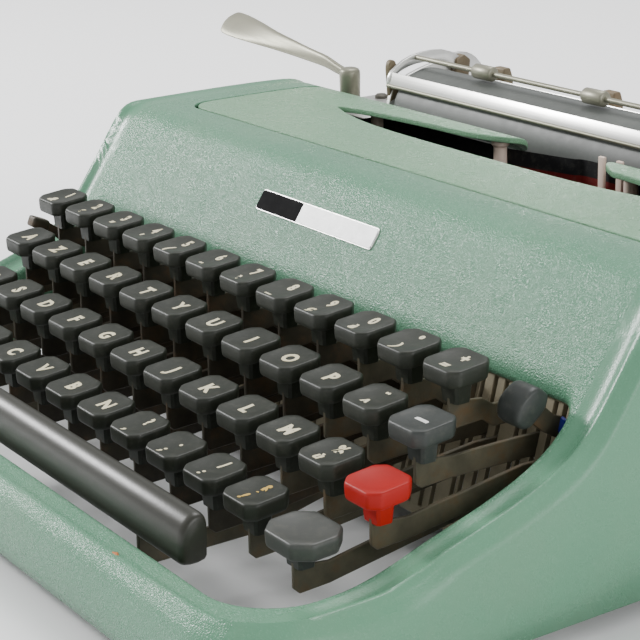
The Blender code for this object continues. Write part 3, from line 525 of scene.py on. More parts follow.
def build_casing():
    bm = bmesh.new()
    for cols in (keyboard_skin(), carriage_skin()):
        grid = [[bm.verts.new(p) for p in c] for c in cols]
        for a, b in zip(grid, grid[1:] + grid[:1]):
            for i in range(len(a) - 1):
                bm.faces.new((a[i], a[i + 1], b[i + 1], b[i]))
        # outer wall, down to the bottom edge
        for a, b in zip(cols, cols[1:] + cols[:1]):
            if min(abs(a[0][1] - SPLIT), abs(b[0][1] - SPLIT)) < 1e-6 and abs(a[0][1] - b[0][1]) < 1e-6:
                continue
            wall = []
            for p in (a[0], b[0]):
                line = []
                for f in (0, 0.12, 0.4, 0.7, 1):
                    z = p[2] + (CASE_BOTTOM - p[2]) * f
                    pull = 1.5 * ramp(14.5 - z, 0, 9.5) ** 1.5 * ramp(FRONT_BEND - p[1], 0, 20)
                    line.append(bm.verts.new((p[0], p[1] + pull, z)))
                wall.append(line)
            for i in range(4):
                bm.faces.new((wall[0][i], wall[0][i + 1], wall[1][i + 1], wall[1][i]))
    bmesh.ops.remove_doubles(bm, verts=bm.verts, dist=0.0005)
    bmesh.ops.recalc_face_normals(bm, faces=bm.faces)
    top = max(bm.faces, key=lambda f: f.calc_center_median().z)
    if top.normal.z < 0:
        bmesh.ops.reverse_faces(bm, faces=bm.faces)
    thicken(Piece("casing").add(bm, "case").done("machine", "enamel_green", "body_shell", angle=60), 2)


def thicken(ob, mm):
    """Gives a skin its thickness, inwards, and keeps the result."""
    mod = ob.modifiers.new("skin", "SOLIDIFY")
    mod.thickness, mod.offset, mod.use_even_offset = mm * MM, -1, True
    skin = evaluated_mesh(ob)
    ob.modifiers.clear()
    ob.data = skin


build_casing()


# ---- ribbon cover ------------------------------------------------------
LENS_X, LENS_Y, LENS_HALF = 7, 36.5, 87     # middle and half length of the window in the cover
COVER_STEP = 61.5                           # the cover stays level behind this line


def lens_front(x):
    return LENS_Y - 9.5 * (1 - abs((x - LENS_X) / LENS_HALF) ** 4)


def lens_rear(x):
    return LENS_Y + 9.8 * max(0, 1 - ((x - LENS_X) / LENS_HALF) ** 2) ** 0.6


def plate_from_outline(name, outline, depth, edge):
    """Sheet with rounded edges, whose top lies flush with the casing's contour."""
    cu = bpy.data.curves.new(name, "CURVE")
    cu.dimensions, cu.fill_mode = "2D", "BOTH"
    cu.extrude, cu.bevel_depth, cu.bevel_resolution = depth / 2 - edge, edge, 2
    sp = cu.splines.new("POLY")
    sp.points.add(len(outline) - 1)
    for p, (x, y) in zip(sp.points, outline):
        p.co = (x, y, 0, 1)
    sp.use_cyclic_u = True
    cu.offset = -edge
    ob = new_object(name, cu)
    me = evaluated_mesh(ob)
    bpy.data.objects.remove(ob)
    bm = bmesh.new()
    bm.from_mesh(me)
    bpy.data.meshes.remove(me)
    bmesh.ops.remove_doubles(bm, verts=bm.verts, dist=0.002)
    for v in bm.verts:
        v.co.z += case_height(0, min(v.co.y, COVER_STEP)) - depth / 2
    bmesh.ops.recalc_face_normals(bm, faces=bm.faces)
    return bm


def build_cover():
    hx, y0, y1, r = 117.1, -0.15, 62, 8
    out = arc_pts(r - hx, y0 + r, r, 180, 270, 8) + line_pts((r - hx, y0), (hx - r, y0), 30)[1:]
    out += arc_pts(hx - r, y0 + r, r, 270, 360, 8)[1:] + line_pts((hx, y0 + r), (hx, y1), 8)[1:]
    # right strip: along the rear edge to its rounded tip, then back along the window
    out += line_pts((hx, y1), (42, y1), 18)[1:]
    out += catmull([(42, y1), (38.6, 60.6), (36.6, 57), (37.6, 52), (42, 48), (48, 44.6)], 4)[1:]
    out += [(x, lens_rear(x)) for x in (52, 58, 64, 70, 76, 82, 86, 89, 91.5, 93.2)]
    out += [(LENS_X + LENS_HALF, LENS_Y)]
    out += [(x, lens_front(x)) for x in (93, 91, 88, 84, 79, 73, 66, 58, 48, 36, 24, 12, 0, -12, -24, -36,
                                         -46, -54, -60, -66, -70, -74, -77, -79)]
    out += [(LENS_X - LENS_HALF, LENS_Y)]
    out += [(x, lens_rear(x)) for x in (-79.2, -77.5, -75, -72, -68, -62, -56, -48, -40, -32, -24)]
    out += catmull([(-18, 46.6), (-11, 49.2), (-6.6, 52.4), (-6, 56.4), (-8.4, 60.4), (-13, y1)], 4)
    out += line_pts((-13, y1), (-hx, y1), 24)[1:] + line_pts((-hx, y1), (-hx, y0 + r), 8)[1:-1]
    part = Piece("ribbon_lid").add(plate_from_outline("cover", out, 2, 0.4), "cover")
    for x in (-104, 104):
        part.add(bm_box(x - 5, x + 5, 42, 44, 78, 84.2), "cover", 0.4)
    part.done("cover", "enamel_green_cover", "ribbon_cover")


build_cover()


# ---- keys --------------------------------------------------------------
KEY_X0, KEY_Y0, KEY_Z0, PITCH, RUN, RISE = -84, -105, 37, 19, 16.2, 9.15
SHIFT = (0, -10, -14.25, -21.8)         # each row's offset to the left
CAP_W, CAP_D, CAP_H, STEM_H = 14.4, 13.2, 4.6, 6
PIVOT_Y, PIVOT_Z, PIVOT_R = 70, 24, 2.5
FORK_R = PIVOT_R + 0.4
# every lever ends in a fork on the pivot rod: its outline from the lower jaw to the top of the lever
FORK = [(PIVOT_Y + y, PIVOT_Z + z) for y, z in (
    (6, -5.6), (6, -FORK_R), (-1.2, -FORK_R), (-FORK_R, 0), (-1.2, FORK_R), (6, FORK_R), (6, 5.6),
    (-7, 5.6))]
SIDE_LEVER_X = 118.5        # ribbon selector on the right, tabulator set lever on the left
SPACE_ARM_X = [KEY_X0 + 13.7 + PITCH * col for col in (1, 7)]


def key_x(row, col):
    return KEY_X0 + SHIFT[row] + PITCH * col


def octagon(w, d, c):
    """Rectangle with its corners cut off by c."""
    hw, hd = w / 2, d / 2
    return [(hw - c, -hd), (hw, -hd + c), (hw, hd - c), (hw - c, hd),
            (-hw + c, hd), (-hw, hd - c), (-hw, -hd + c), (-hw + c, -hd)]


def cap_outline(w, d, cut, r=0.8):
    """Rectangle with cut corners, every corner a little rounded, and extra points on the long sides."""
    corners = [Vector(v) for v in octagon(w, d, cut)]
    pts = []
    for i, here in enumerate(corners):
        after = corners[(i + 1) % 8]
        a, b = (corners[i - 1] - here).normalized() * r, (after - here).normalized() * r
        pts += [here + a * (1 - s) ** 2 + b * s * s for s in (0, 0.25, 0.5, 0.75, 1)]
        if (after - here).length > 5:
            pts += [here.lerp(after, s) for s in (0.28, 0.5, 0.72)]
    return [(v.x, v.y) for v in pts]


def cap_top(px, py, w, d, slope, dish):
    """Height of a cap's dished top over (px, py) from its middle."""
    u = min(1, math.hypot(px / (w * 0.46), py / (d * 0.46)))
    return slope * py - dish * (1 - u * u)


def add_cap(part, mat, x, y, z, w=CAP_W, d=CAP_D, cut=2.3, slope=0.10, dish=0.7):
    out, h = cap_outline(w, d, cut), CAP_H
    rings = []
    for s, dz in ((0.55, -h + 0.5), (0.86, -h + 0.5), (0.88, -h), (0.93, -h + 0.1), (0.965, -h + 0.45),
                  (0.985, -h + 1.1), (1, -1.2), (0.998, -0.75), (0.988, -0.42), (0.968, -0.17),
                  (0.94, -0.03), (0.905, 0)):
        rings.append([(x + px * s, y + py * s, z + dz + slope * py * s) for px, py in out])
    for s in (0.85, 0.8, 0.7, 0.58, 0.45, 0.3, 0.15, 0.04):
        rings.append([(x + px * s, y + py * s, z + cap_top(px * s, py * s, w, d, slope, dish))
                      for px, py in out])
    part.add(bm_loft(rings), mat)


GLYPHS = {}


def glyph(text):
    """Flat mesh of a character, centred, in font units."""
    if text not in GLYPHS:
        cu = bpy.data.curves.new("glyph", "FONT")
        cu.body, cu.size, cu.resolution_u, cu.offset = text, 1, 3, 0.045
        cu.align_x = "CENTER"
        ob = new_object("glyph", cu)
        GLYPHS[text] = evaluated_mesh(ob)
        bpy.data.objects.remove(ob)
    return GLYPHS[text]


def add_legend(part, mat, text, x, y, z, size, dx, dy):
    """Filled character laid just over the dished top."""
    bm = bmesh.new()
    bm.from_mesh(glyph(text))
    xs = [v.co.x for v in bm.verts]
    mid = (min(xs) + max(xs)) / 2
    for v in bm.verts:
        v.co = ((v.co.x - mid) * size + dx, (v.co.y - 0.36) * size + dy, 0)
    bmesh.ops.subdivide_edges(bm, edges=[e for e in bm.edges if e.calc_length() > 0.9], cuts=1)
    bmesh.ops.triangulate(bm, faces=bm.faces)
    geom = bmesh.ops.extrude_face_region(bm, geom=bm.faces[:])
    lifted = {v for v in geom["geom"] if isinstance(v, bmesh.types.BMVert)}
    for v in bm.verts:
        h = cap_top(v.co.x, v.co.y, CAP_W, CAP_D, 0.10, 0.7) + (0.07 if v in lifted else -0.06)
        v.co = (x + v.co.x, y + v.co.y, z + h)
    bmesh.ops.recalc_face_normals(bm, faces=bm.faces)
    part.add(bm, mat)


AT_COMB = (31.5, 38, 43.5, 50.5)          # height of each row's levers where they pass the comb


def lever_profile(y, foot, comb):
    """Side view of a key lever, from its fork to the stem's foot at y."""
    depth, top = 6, foot - 1.2
    return (FORK + [(PIVOT_Y - 14, PIVOT_Z + 4.2), (-28, comb - 0.6), (-45, comb), (y + 8, top + 0.1),
                    (y + 2.4, top + 0.8), (y + 2.4, foot + 1.5), (y - 2.4, foot + 1.5),
                    (y - 2.4, top - depth + 1.6), (y - 0.8, top - depth), (y + 8, top - depth + 0.4),
                    (-45, comb - depth), (-28, comb - depth - 0.6),
                    (PIVOT_Y - 14, PIVOT_Z - 4.2), (PIVOT_Y - 7, PIVOT_Z - 5.6)])[::-1]


def add_shank(part, mat, lever, x, y, z, comb):
    """Stem under a cap whose top is at z, and the lever that carries it."""
    foot, top = z - CAP_H - STEM_H, z - 4.2
    rings = []
    for s, h in ((0.86, foot), (0.9, foot + 1.4), (0.97, top - 2), (1, top)):
        stem = octagon(7.2 * s, 5.4 * s, 0.7)
        rings.append([(x + a, y + b, h) for a, b in stem])
    part.add(bm_loft(rings), mat)
    part.add(bm_prism(lever_profile(y, foot, comb), x - 0.6, x + 0.6), lever, 0.18, 1)


def build_key(name, x, row, legends, mat="cap", slot="key_plastic", lever="rusty", z_off=0, cut=2.3,
              dash=False):
    y, z = KEY_Y0 + RUN * row, KEY_Z0 + RISE * row + z_off
    part = Piece(name + "_assembly")
    add_cap(part, mat, x, y, z, cut=cut)
    add_shank(part, mat, lever, x, y, z, AT_COMB[row])
    for fill, text, size, dx, dy in legends:
        add_legend(part, fill, text, x, y, z, size, dx, dy)
    if dash:
        part.add(bm_box(x - 2.3, x + 2.3, y - 0.65, y + 0.65, z - 0.72, z - 0.58), "white", 0.05, 1)
    part.done(name, slot, name)


PAIRS = {
    "comma": (",", "?"), "semicolon": (";", "."), "colon": (":", "/"), "exclamation": ("!", "§"),
    "u_grave": ("ù", "%"), "circumflex": ("^", "¨"), "1": ("&", "1"), "2": ("é", "2"),
    "3": ('"', "3"), "4": ("'", "4"), "5": ("(", "5"), "6": ("-", "6"), "7": ("è", "7"),
    "8": ("_", "8"), "9": ("ç", "9"), "0": ("à", "0"), "degree": (")", "°"),
    "equals": ("=", "+")}
ROWS = ("w x c v b n comma semicolon colon exclamation", "q s d f g h j k l m u_grave",
        "a z e r t y u i o p circumflex", "1 2 3 4 5 6 7 8 9 0 degree equals")
for row, names in enumerate(ROWS):
    for col, nm in enumerate(names.split()):
        if nm in PAIRS:
            low, high = PAIRS[nm]
            fill = "ochre" if nm == "exclamation" else "legend"
            legends = [(fill, low, 4.7, -0.4, -3.1), (fill, high, 4.7, 0.5, 2.6)]
        else:
            legends = [("legend", nm.upper(), 6, 0, 0.3)]
        build_key("key_" + nm, key_x(row, col), row, legends, lever="rusty" if col > 8 else "lever")
build_key("tab_key", key_x(1, 11), 1, [], "red", "tab_red", z_off=-1, cut=2.6)
build_key("shift_lock_key", key_x(1, -1), 1, [], "slate", "lock_plastic")
build_key("backspace_key", key_x(2, 11), 2, [], "slate", "backspace_plastic", dash=True)


def build_shift():
    """Both shift keys, joined by their yoke under the levers."""
    part = Piece("shift_assembly")
    z = KEY_Z0 - 2
    xr, xl = key_x(0, 10), key_x(0, -1)
    for x in (xr, xl):
        outward = 2.5 if x > 0 else -2.5
        add_cap(part, "shift", x + outward, KEY_Y0 - 0.6, z, 19, 15, 4, 0.06, 0.8)
        add_shank(part, "slate", "rusty", x, KEY_Y0, z, AT_COMB[0])
        part.add(bm_box(x - 0.6, x + 0.6, 45, 51, 8, 23), "rusty", 0.2, 1)
    part.add(bm_box(xl - 0.5, xr + 0.5, 46, 50, 8.8, 12.8), "steel", 0.4)
    part.done("shift_keys", "shift_plastic", "shift_keys")


build_shift()


def build_space_bar():
    """Bar of one rounded section, shrunk towards both ends, on two arms."""
    x0, x1, sy, sz, heart = -72, 90, -122.6, 36.4, -6.3
    section = smooth_loop([(-4.6, -12.6), (1.2, -12.6), (1.9, -9), (2.1, -4), (1.9, -1.6), (1.1, -0.4),
                           (-0.2, 0), (-1.5, -0.2), (-2.9, -1), (-4.1, -2.3), (-4.9, -4), (-5.3, -6),
                           (-5.4, -8.8)])
    ends = ((0, 0.80), (0.35, 0.9), (1, 0.965), (2.2, 1))
    stations = [(x0 + dx, s) for dx, s in ends] + [(x0 + 40, 1), (x0 + 80, 1), (x1 - 40, 1)]
    stations += [(x1 - dx, s) for dx, s in ends[::-1]]
    rings = [[(x, sy + a * s, sz + heart + (b - heart) * s) for a, b in section] for x, s in stations]
    part = Piece("space_bar_assembly").add(bm_loft(rings), "bar")
    arm = FORK + [(-30, 28.6), (-60, 26), (-90, 18.6), (-119, 18.4), (-120.4, 20), (-120.8, 29),
                  (-125, 29), (-125, 15), (-123, 13.2), (-90, 13.2), (-58, 20.4), (-30, 22.6),
                  (PIVOT_Y - 7, PIVOT_Z - 5.6)]
    for x in SPACE_ARM_X:
        part.add(bm_prism(arm[::-1], x - 0.7, x + 0.7), "rusty", 0.2, 1)
    part.done("space_bar", "bar_plastic", "space_bar")


build_space_bar()


# ---- feet, badge and marks on the casing ---------------------------------
def build_feet():
    part = Piece("rubber_feet")
    for sx in (-1, 1):
        for y in (-96, 136):
            part.add(bm_lathe([(0, 3.6), (0.15, 4.3), (0.8, 4.85), (3.6, 4.85), (4.2, 4.5), (14, 4.4)],
                              (sx * 133, y), "Z", 28), "foot")
    part.done("machine", "enamel_green")


build_feet()


def panel_point(x, u, lift):
    """Point on the sloping panel; u runs up the slope from the badge's lower edge."""
    y = -26.3 + u * 0.559
    return (x, y - 0.829 * lift, contour_height(y) + 0.559 * lift)


def build_badge():
    """Blank two-tone plate in a thin bright border."""
    part = Piece("badge")
    for x0, x1, u0, u1, r, h, mat in ((-34.3, 26.3, -0.3, 6.5, 1.3, 0.4, "silver"),
                                      (-34, -12, 0, 6.2, 1, 0.62, "badge_dark"),
                                      (-12, 26, 0, 6.2, 1, 0.62, "badge_light")):
        out = []
        for cx, cu, a0 in ((x1 - r, u1 - r, 0), (x0 + r, u1 - r, 90), (x0 + r, u0 + r, 180),
                           (x1 - r, u0 + r, 270)):
            # the two tones meet along a line with square corners
            q = 0.1 if abs(cx + 12) < 2 and h > 0.5 else r
            sx, su = (1 if a0 in (0, 270) else -1), (1 if a0 in (0, 90) else -1)
            out += arc_pts(cx + sx * (r - q), cu + su * (r - q), q, a0, a0 + 90, 5)
        part.add(bm_loft([[panel_point(x, u, lift) for x, u in out] for lift in (-0.3, h)]), mat, 0.1, 1)
    # chipped paint on the front rim
    x, y = 76.5, -138.4
    bm = bmesh.new()
    bmesh.ops.create_icosphere(bm, subdivisions=3, radius=1)
    for v in bm.verts:
        k = 1 + 0.25 * math.sin(5 * v.co.x + 3 * v.co.y)
        v.co = (x + 1.5 * v.co.x * k, y + 0.8 * v.co.y * k, case_height(x, y) - 0.25 + 0.5 * v.co.z)
    part.add(bm, "chip")
    part.done("machine", "enamel_green")


build_badge()


# ---- mechanism -----------------------------------------------------------
SPOOL_X, SPOOL_Y = 98, 21       # the spools' spindles


def comb_y(z):
    return -33.6 + (z - 54) * 12 / 44


def comb_strip(x0, x1, z0, z1):
    """Strip of the leaning comb plate."""
    a, b = comb_y(z0), comb_y(z1)
    return bm_prism([(a, z0), (a + 1.5, z0 - 0.4), (b + 1.5, z1 - 0.4), (b, z1)], x0, x1)


LEVERS = [key_x(r, c) for r, names in enumerate(ROWS) for c in range(len(names.split()))]
LEVERS += [key_x(2, 11), key_x(1, 11), key_x(1, -1), key_x(0, 10), key_x(0, -1)]
LEVERS += SPACE_ARM_X + [-SIDE_LEVER_X, SIDE_LEVER_X]
SIDE_X = 121.4      # half width of the comb and of the frame between its side plates


def slot_half(x):
    """Half width of a comb slot: wider where a lever runs through it."""
    return 0.78 if min(abs(x - v) for v in LEVERS) < 0.2 else 0.45


def bow(cx, cy, rx, ry, n):
    """Points along the front of an ellipse, in plan, from 200 to 340 degrees."""
    angles = [math.radians(200 + 140 * i / n) for i in range(n + 1)]
    return [(cx + rx * math.cos(a), cy + ry * math.sin(a)) for a in angles]


def bar_through(points, way, half, low, high):
    """Flat bar through points, upright in section, that runs along way."""
    side = Vector((-way.y, way.x, 0)) * half
    corners = [side * k + Vector((0, 0, h)) for k, h in ((-1, low), (1, low), (1, high), (-1, high))]
    return bm_loft([[tuple(q + c) for c in corners] for q in points])


def build_mechanism():
    part = Piece("mechanism")
    slots = [KEY_X0 + PITCH * c + off for c in range(-2, 12) for off in (0, 4.75, 9, 16.2)]
    slots = [x for x in slots if abs(x) < 117] + SPACE_ARM_X + [-SIDE_LEVER_X, SIDE_LEVER_X]
    edges = [-SIDE_X] + sorted(slots) + [SIDE_X]
    for i, (a, b) in enumerate(zip(edges, edges[1:])):
        lo, hi = a + (slot_half(a) if i else 0), b - (slot_half(b) if i < len(edges) - 2 else 0)
        part.add(comb_strip(lo, hi, 12, 52.2), "comb", 0.12, 1)
    part.add(comb_strip(-SIDE_X, SIDE_X, 52, 54.6), "comb", 0.15, 1)
    part.add(comb_strip(-SIDE_X, SIDE_X, 9.6, 12.2), "comb", 0.15, 1)
    # turned-back flange at the top of the comb, with its screws
    part.add(bm_box(-SIDE_X, SIDE_X, -33.4, -24, 53.4, 54.6), "comb", 0.15, 1)
    for x in (-112, -38, 38, 112):
        part.add(bm_lathe([(54.4, 2.6), (55.6, 2.6), (56.2, 1.9)], (x, -28.6), "Z", 18), "steel", 0.1, 1)
    # blue paint dab at the right end of the comb
    dab = ((-1, -1.6), (-0.2, -2.6), (0.8, -2.2), (1, 0.4), (0.6, 2.2), (-0.6, 2.6), (-1, 0.8))
    part.add(bm_loft([[(119.9 + u * wide, y + v * 0.16, 47.6 + v * tall) for u, v in dab]
                      for y, wide, tall in ((-36.2, 1.3, 0.8), (-36.9, 1.1, 0.7))]), "blue")
    side = [(-32.7, 53), (-44.7, 12), (-30, 8), (120, 8), (120, 51), (64, 51), (58, 58),
            (40, 72), (4, 72), (-12, 66)]
    for x0 in (-SIDE_X, SIDE_X - 1.6):
        part.add(bm_prism(side, x0, x0 + 1.6), "steel", 0.2, 1)
    part.add(bm_lathe([(-120.9, 2.5), (120.9, 2.5)], (PIVOT_Y, PIVOT_Z), "X", 24), "steel")
    # collars between the levers on the rod
    for c in range(-1, 12):
        x = KEY_X0 + PITCH * c + 6.9
        collar = [(x - 1.2, 2.4), (x - 1.1, 2.78), (x + 1.1, 2.78), (x + 1.2, 2.4)]
        part.add(bm_lathe(collar, (PIVOT_Y, PIVOT_Z), "X", 18), "steel")
    part.add(bm_box(-121, 121, 112, 118, 14, 20), "steel", 0.5)
    part.add(bm_box(-121, 121, 92, 100, 44, 51), "steel", 0.6)
    part.add(bm_box(-112, 112, 94, 98, 50, 59.6), "chrome", 0.5)
    part.add(bm_box(-121, 121, 48, 56, 54, 59), "steel", 0.5)
    for sx in (-1, 1):
        a, b = sorted((sx * 120.8, sx * 68))
        part.add(bm_box(a, b, 0, 42, 60, 62.4), "steel", 0.3)
        part.add(bm_lathe([(62, 2), (78.6, 2), (79, 1.4)], (sx * SPOOL_X, SPOOL_Y), "Z", 20), "chrome")
    # segment, type bars and the rest that the heads lie on
    segment_x, rest_x, fan_y = 14, 10, 62
    segment = arc_pts(segment_x, fan_y, 33, 190, 350, 16) + arc_pts(segment_x, fan_y, 22, 350, 190, 16)
    part.add(bm_prism(segment, 58, 66, "Z"), "type", 0.4, 1)
    rest = bow(rest_x, fan_y, 88, 56, 16) + bow(rest_x, fan_y, 82, 50, 16)[::-1]
    part.add(bm_prism(rest, 57.5, 64, "Z"), "type", 0.4, 1)
    for i in range(44):
        a = math.radians(201 + 138 * i / 43)
        ca, sa = math.cos(a), math.sin(a)
        root = Vector((segment_x + 25 * ca, fan_y + 25 * sa, 67))
        tip = Vector((rest_x + 81 * ca, fan_y + 49 * sa, 66.2))
        head = Vector((rest_x + 76 * ca, fan_y + 44 * sa, 69.4))
        way = (tip - root).normalized()
        part.add(bar_through((root, root.lerp(tip, 0.5), tip), way, 0.45, -1.6, 1.4), "type", 0.1, 1)
        part.add(bar_through((head, head + way * 3), way, 1.1, -2.4, 2.2), "type", 0.25, 1)
    # ribbon posts and the forked guide at the printing point
    for x, y in ((-80.5, 53.3), (-16, 55.4), (44, 56), (93, 53.3)):
        part.add(bm_lathe([(59, 1.2), (70.6, 1.2), (70.8, 2.7), (71.6, 2.9), (72.4, 2.2), (80.4, 2.2),
                           (81.2, 2.9), (82.3, 2.8), (82.8, 1.6)], (x, y), "Z", 28), "brass")
    for x in (22, 30):
        part.add(bm_box(x - 1.3, x + 1.3, 63.9, 65.2, 60, 82.6), "brass", 0.35)
    part.add(bm_box(19, 33, 63.9, 65.2, 60, 67), "brass", 0.35)
    part.done("machine", "frame_steel", "mechanism_frame")


build_mechanism()


def build_spool(node, x, slot):
    """Ribbon spool with flanges, dark slits laid on them as painted shade in place of openings, and a wound
    pack of ribbon.
    """
    part = Piece(node + "_reel")

    def disc(stations, seg, mat):
        part.add(bm_lathe(stations, (x, SPOOL_Y), "Z", seg), mat)
    for z in (63.2, 76.6):
        disc([(z, 2.5), (z, 16.6), (z + 0.2, 17), (z + 0.8, 17), (z + 1, 16.6), (z + 1, 2.5)], 48, "flange")
    disc([(63.4, 7), (77.4, 7)], 32, "steel")
    disc([(64.4, 13), (64.6, 13.4), (76.2, 13.4), (76.4, 13)], 48, "ribbon")
    # dark slits on the top flange: painted shade where openings would be
    for angle in (20, 140, 260):
        painted_opening = bm_box(x - 0.9, x + 0.9, SPOOL_Y + 8.6, SPOOL_Y + 15.4, 77.5, 77.9)
        bmesh.ops.rotate(painted_opening, verts=painted_opening.verts, cent=(x, SPOOL_Y, 77),
                         matrix=Matrix.Rotation(math.radians(angle), 3, "Z"))
        part.add(painted_opening, "type", 0.15, 1)
    disc([(77.4, 3.4), (79.6, 3.2), (80, 2.6)], 24, "chrome")
    return part.done(node, slot, node)


SPOOLS = [build_spool("left_spool", -SPOOL_X, "spool_steel"),
          build_spool("right_spool", SPOOL_X, "spool_steel_right")]


def build_ribbon():
    """Inked ribbon, stretched from spool to spool past the printing point."""
    path = [(-86.5, 27), (-84, 40), (-82.7, 51), (-81.4, 55), (-78.6, 55.5), (-50, 57), (-18, 58),
            (-14, 58.2), (0, 61.6), (9, 64), (12, 65.9), (20, 66.4), (30, 65.9), (34, 64),
            (42, 59.4), (46, 58.6), (70, 57.2), (91.4, 55.8), (94.6, 54.6), (95.2, 50), (90, 38),
            (86.8, 28)]
    pts = catmull([(x, y, 0) for x, y in path], 5)
    heights = [66.6, 69.4, 72, 74.4, 76, 77.8, 79.6]
    part = Piece("ink_ribbon")
    for lo, hi, mat in ((0, 3, "ribbon_red"), (3, 6, "ribbon")):
        part.add(bm_loft([[(x, y, z) for z in heights[lo:hi + 1]] for x, y, _ in pts], closed=False,
                         caps=False), mat)
    bmesh.ops.remove_doubles(part.bm, verts=part.bm.verts, dist=0.001)
    ribbon = part.done("machine", "frame_steel")


build_ribbon()


# ---- ribbon selector and tabulator set lever -------------------------------
def build_selector():
    y0, z0 = -46.6, 54.2
    knob = smooth_loop([(-51.6, 53), (-50.4, 56.4), (-45.8, 59.6), (-42.4, 58), (-41.6, 56.2), (-43.2, 53),
                        (-48, 49.4), (-51, 50.8)])
    rings = []
    for x, s in ((112.3, 0.8), (112.5, 0.9), (113, 0.96), (113.9, 0.995), (114.8, 1), (118.4, 1),
                 (119.3, 0.995), (120.2, 0.96), (120.7, 0.9), (120.9, 0.8)):
        rings.append([(x, y0 + (y - y0) * s, z0 + (z - z0) * s) for y, z in knob])
    part = Piece("selector").add(bm_loft(rings), "slate")
    arm = [(-47, 51.5), (-43.6, 55.4), (-38.4, 50.6), (-34, 48.8), (-20, 46.6), (-10, 46), (-10, 38),
           (-18, 39.6), (-34, 43.8), (-38, 44.6), (-42, 47), (-45, 49.6)]
    part.add(bm_prism(arm, SIDE_LEVER_X - 0.7, SIDE_LEVER_X + 0.7), "lever", 0.2, 1)
    part.done("ribbon_selector", "selector_grey", "ribbon_selector")


def build_set_lever():
    arm = [(-60.6, 54.6), (-61.4, 53.4), (-60.8, 52), (-57.4, 50.6), (-52, 45.4), (-42, 41.4), (-30, 39.6),
           (-10, 38), (-10, 44), (-30, 44.4), (-42, 45.6), (-50, 48.6), (-56, 52.6)]
    part = Piece("set_lever").add(bm_prism(arm, -SIDE_LEVER_X - 0.7, 0.7 - SIDE_LEVER_X), "lever", 0.2, 1)
    part.add(bm_prism([(-63.4, 52.6), (-57.2, 50.2), (-56.4, 53.6), (-62, 56)], -120.8, -116), "lever", 0.8,
             3)
    part.done("tab_set_lever", "set_lever_steel", "tab_set_lever")


build_selector()
build_set_lever()


# ---- carriage ------------------------------------------------------------
X0, X1 = -99, 124                           # the carriage's end plates
AXIS_Y, AXIS_Z = 84, 76.5                  # the platen's axis
LEVER_X, LEVER_Y = -123.8, 72.4            # the return lever's pivot


def on_shaft(stations, seg):
    """Turned part on the platen's axis."""
    return bm_lathe(stations, (AXIS_Y, AXIS_Z), "X", seg)


def build_carriage():
    """Bed, end plates, lever house, paper table, stop rod with its stops, and ratchet wheel."""
    part = Piece("carriage")
    part.add(bm_box(X0, X1, 101, 114, 61.4, 65.6), "silver", 0.5)
    end = smooth_loop([(69.4, 66), (74, 61.8), (94, 61.5), (114, 61.4), (116.4, 68), (115, 86), (109.4, 93),
                       (102, 94.4), (94, 92.4), (86, 90.6), (78, 87.8), (72.4, 83)])
    for x0 in (X0 - 1, X1 - 1):
        part.add(bm_prism(end, x0, x0 + 2), "silver", 0.35)
        x = x0 if x0 < 0 else x0 + 2
        sx = -1 if x0 < 0 else 1
        for y, z in ((109, 88), (110, 66)):
            part.add(bm_lathe([(x - 0.3 * sx, 2.2), (x + 0.7 * sx, 2.2), (x + 1.1 * sx, 1.5)], (y, z), "X",
                              18), "steel")
    # bearing collars of the shaft
    for x in (X0 + 1, X1 - 2.6):
        part.add(on_shaft([(x, 3.5), (x, 5.4), (x + 1.6, 5.4), (x + 1.6, 3.5)], 28), "steel")
    # house that carries the return lever
    plan = arc_pts(-136, 72.2, 5, 180, 270, 5) + [(X0 + 0.2, 67.2), (X0 + 0.2, 101)]
    plan += arc_pts(-135, 95, 6, 90, 180, 5)
    part.add(bm_prism(plan, 63.6, 73.2, "Z"), "silver", 0.8)
    part.add(bm_lathe([(73, 7.2), (74.8, 7), (75.4, 6.4)], (LEVER_X, LEVER_Y + 2), "Z", 32), "silver")
    part.add(bm_box(-134, -98.9, 66.5, 67.5, 63.8, 73.1), "flange", 0.2)
    for x, y in ((-104, 94), (-134, 94)):
        part.add(bm_lathe([(73, 2.4), (74.2, 2.4), (74.8, 1.7)], (x, y), "Z", 18), "steel")
    # platen release lever and its neighbours, browned with age
    rel = smooth_loop([(72.6, 80), (75.8, 82), (75.6, 88), (75.4, 92), (74.4, 94.6), (72.4, 94.6),
                       (71.6, 92), (72, 86)])
    part.add(bm_prism(rel, X0 - 1.6, X0 + 0.6), "brown", 0.3)
    part.add(bm_prism([(71.6, 80), (79.6, 83), (80, 87.6), (74, 86.4)], X0 - 1.5, X0 + 1.4), "brown", 0.5)
    part.add(bm_prism([(99, 84), (105, 84), (106, 92), (103, 94.2), (99.4, 92.6)], X0 + 0.6, X0 + 4.6),
             "brown", 0.7)
    table = [(101.6, 64), (103.2, 64), (103, 76), (106.4, 86.2), (104.8, 86.8), (101.2, 76.4)]
    part.add(bm_prism(table, X0 + 6, X1 - 6), "silver", 0.25)
    part.add(bm_lathe([(X0, 1.3), (X1, 1.3)], (112.2, 80.6), "X", 20), "chrome")
    for x in (-83, -25, 74):
        stop = [(110.4, 78.4), (114.2, 78.4), (114.2, 86), (112.8, 90), (109.8, 90), (109.4, 86)]
        part.add(bm_prism(stop, x - 3, x + 3), "brown", 0.6, 3)
    for a, b in ((40, 100), (-80, -20)):
        part.add(bm_box(a, b, 99, 104.5, 60.6, 65), "steel", 0.4)
    # line-space ratchet wheel beside the left end plate
    teeth, count = [], 36
    for i in range(count):
        a = 2 * math.pi * i / count
        teeth += [(AXIS_Y + 10.6 * math.cos(a), AXIS_Z + 10.6 * math.sin(a)),
                  (AXIS_Y + 9.4 * math.cos(a + 0.09), AXIS_Z + 9.4 * math.sin(a + 0.09))]
    part.add(bm_prism(teeth, X0 + 2.6, X0 + 3.6), "steel")
    part.done("carriage", "carriage_metal", "carriage_frame")


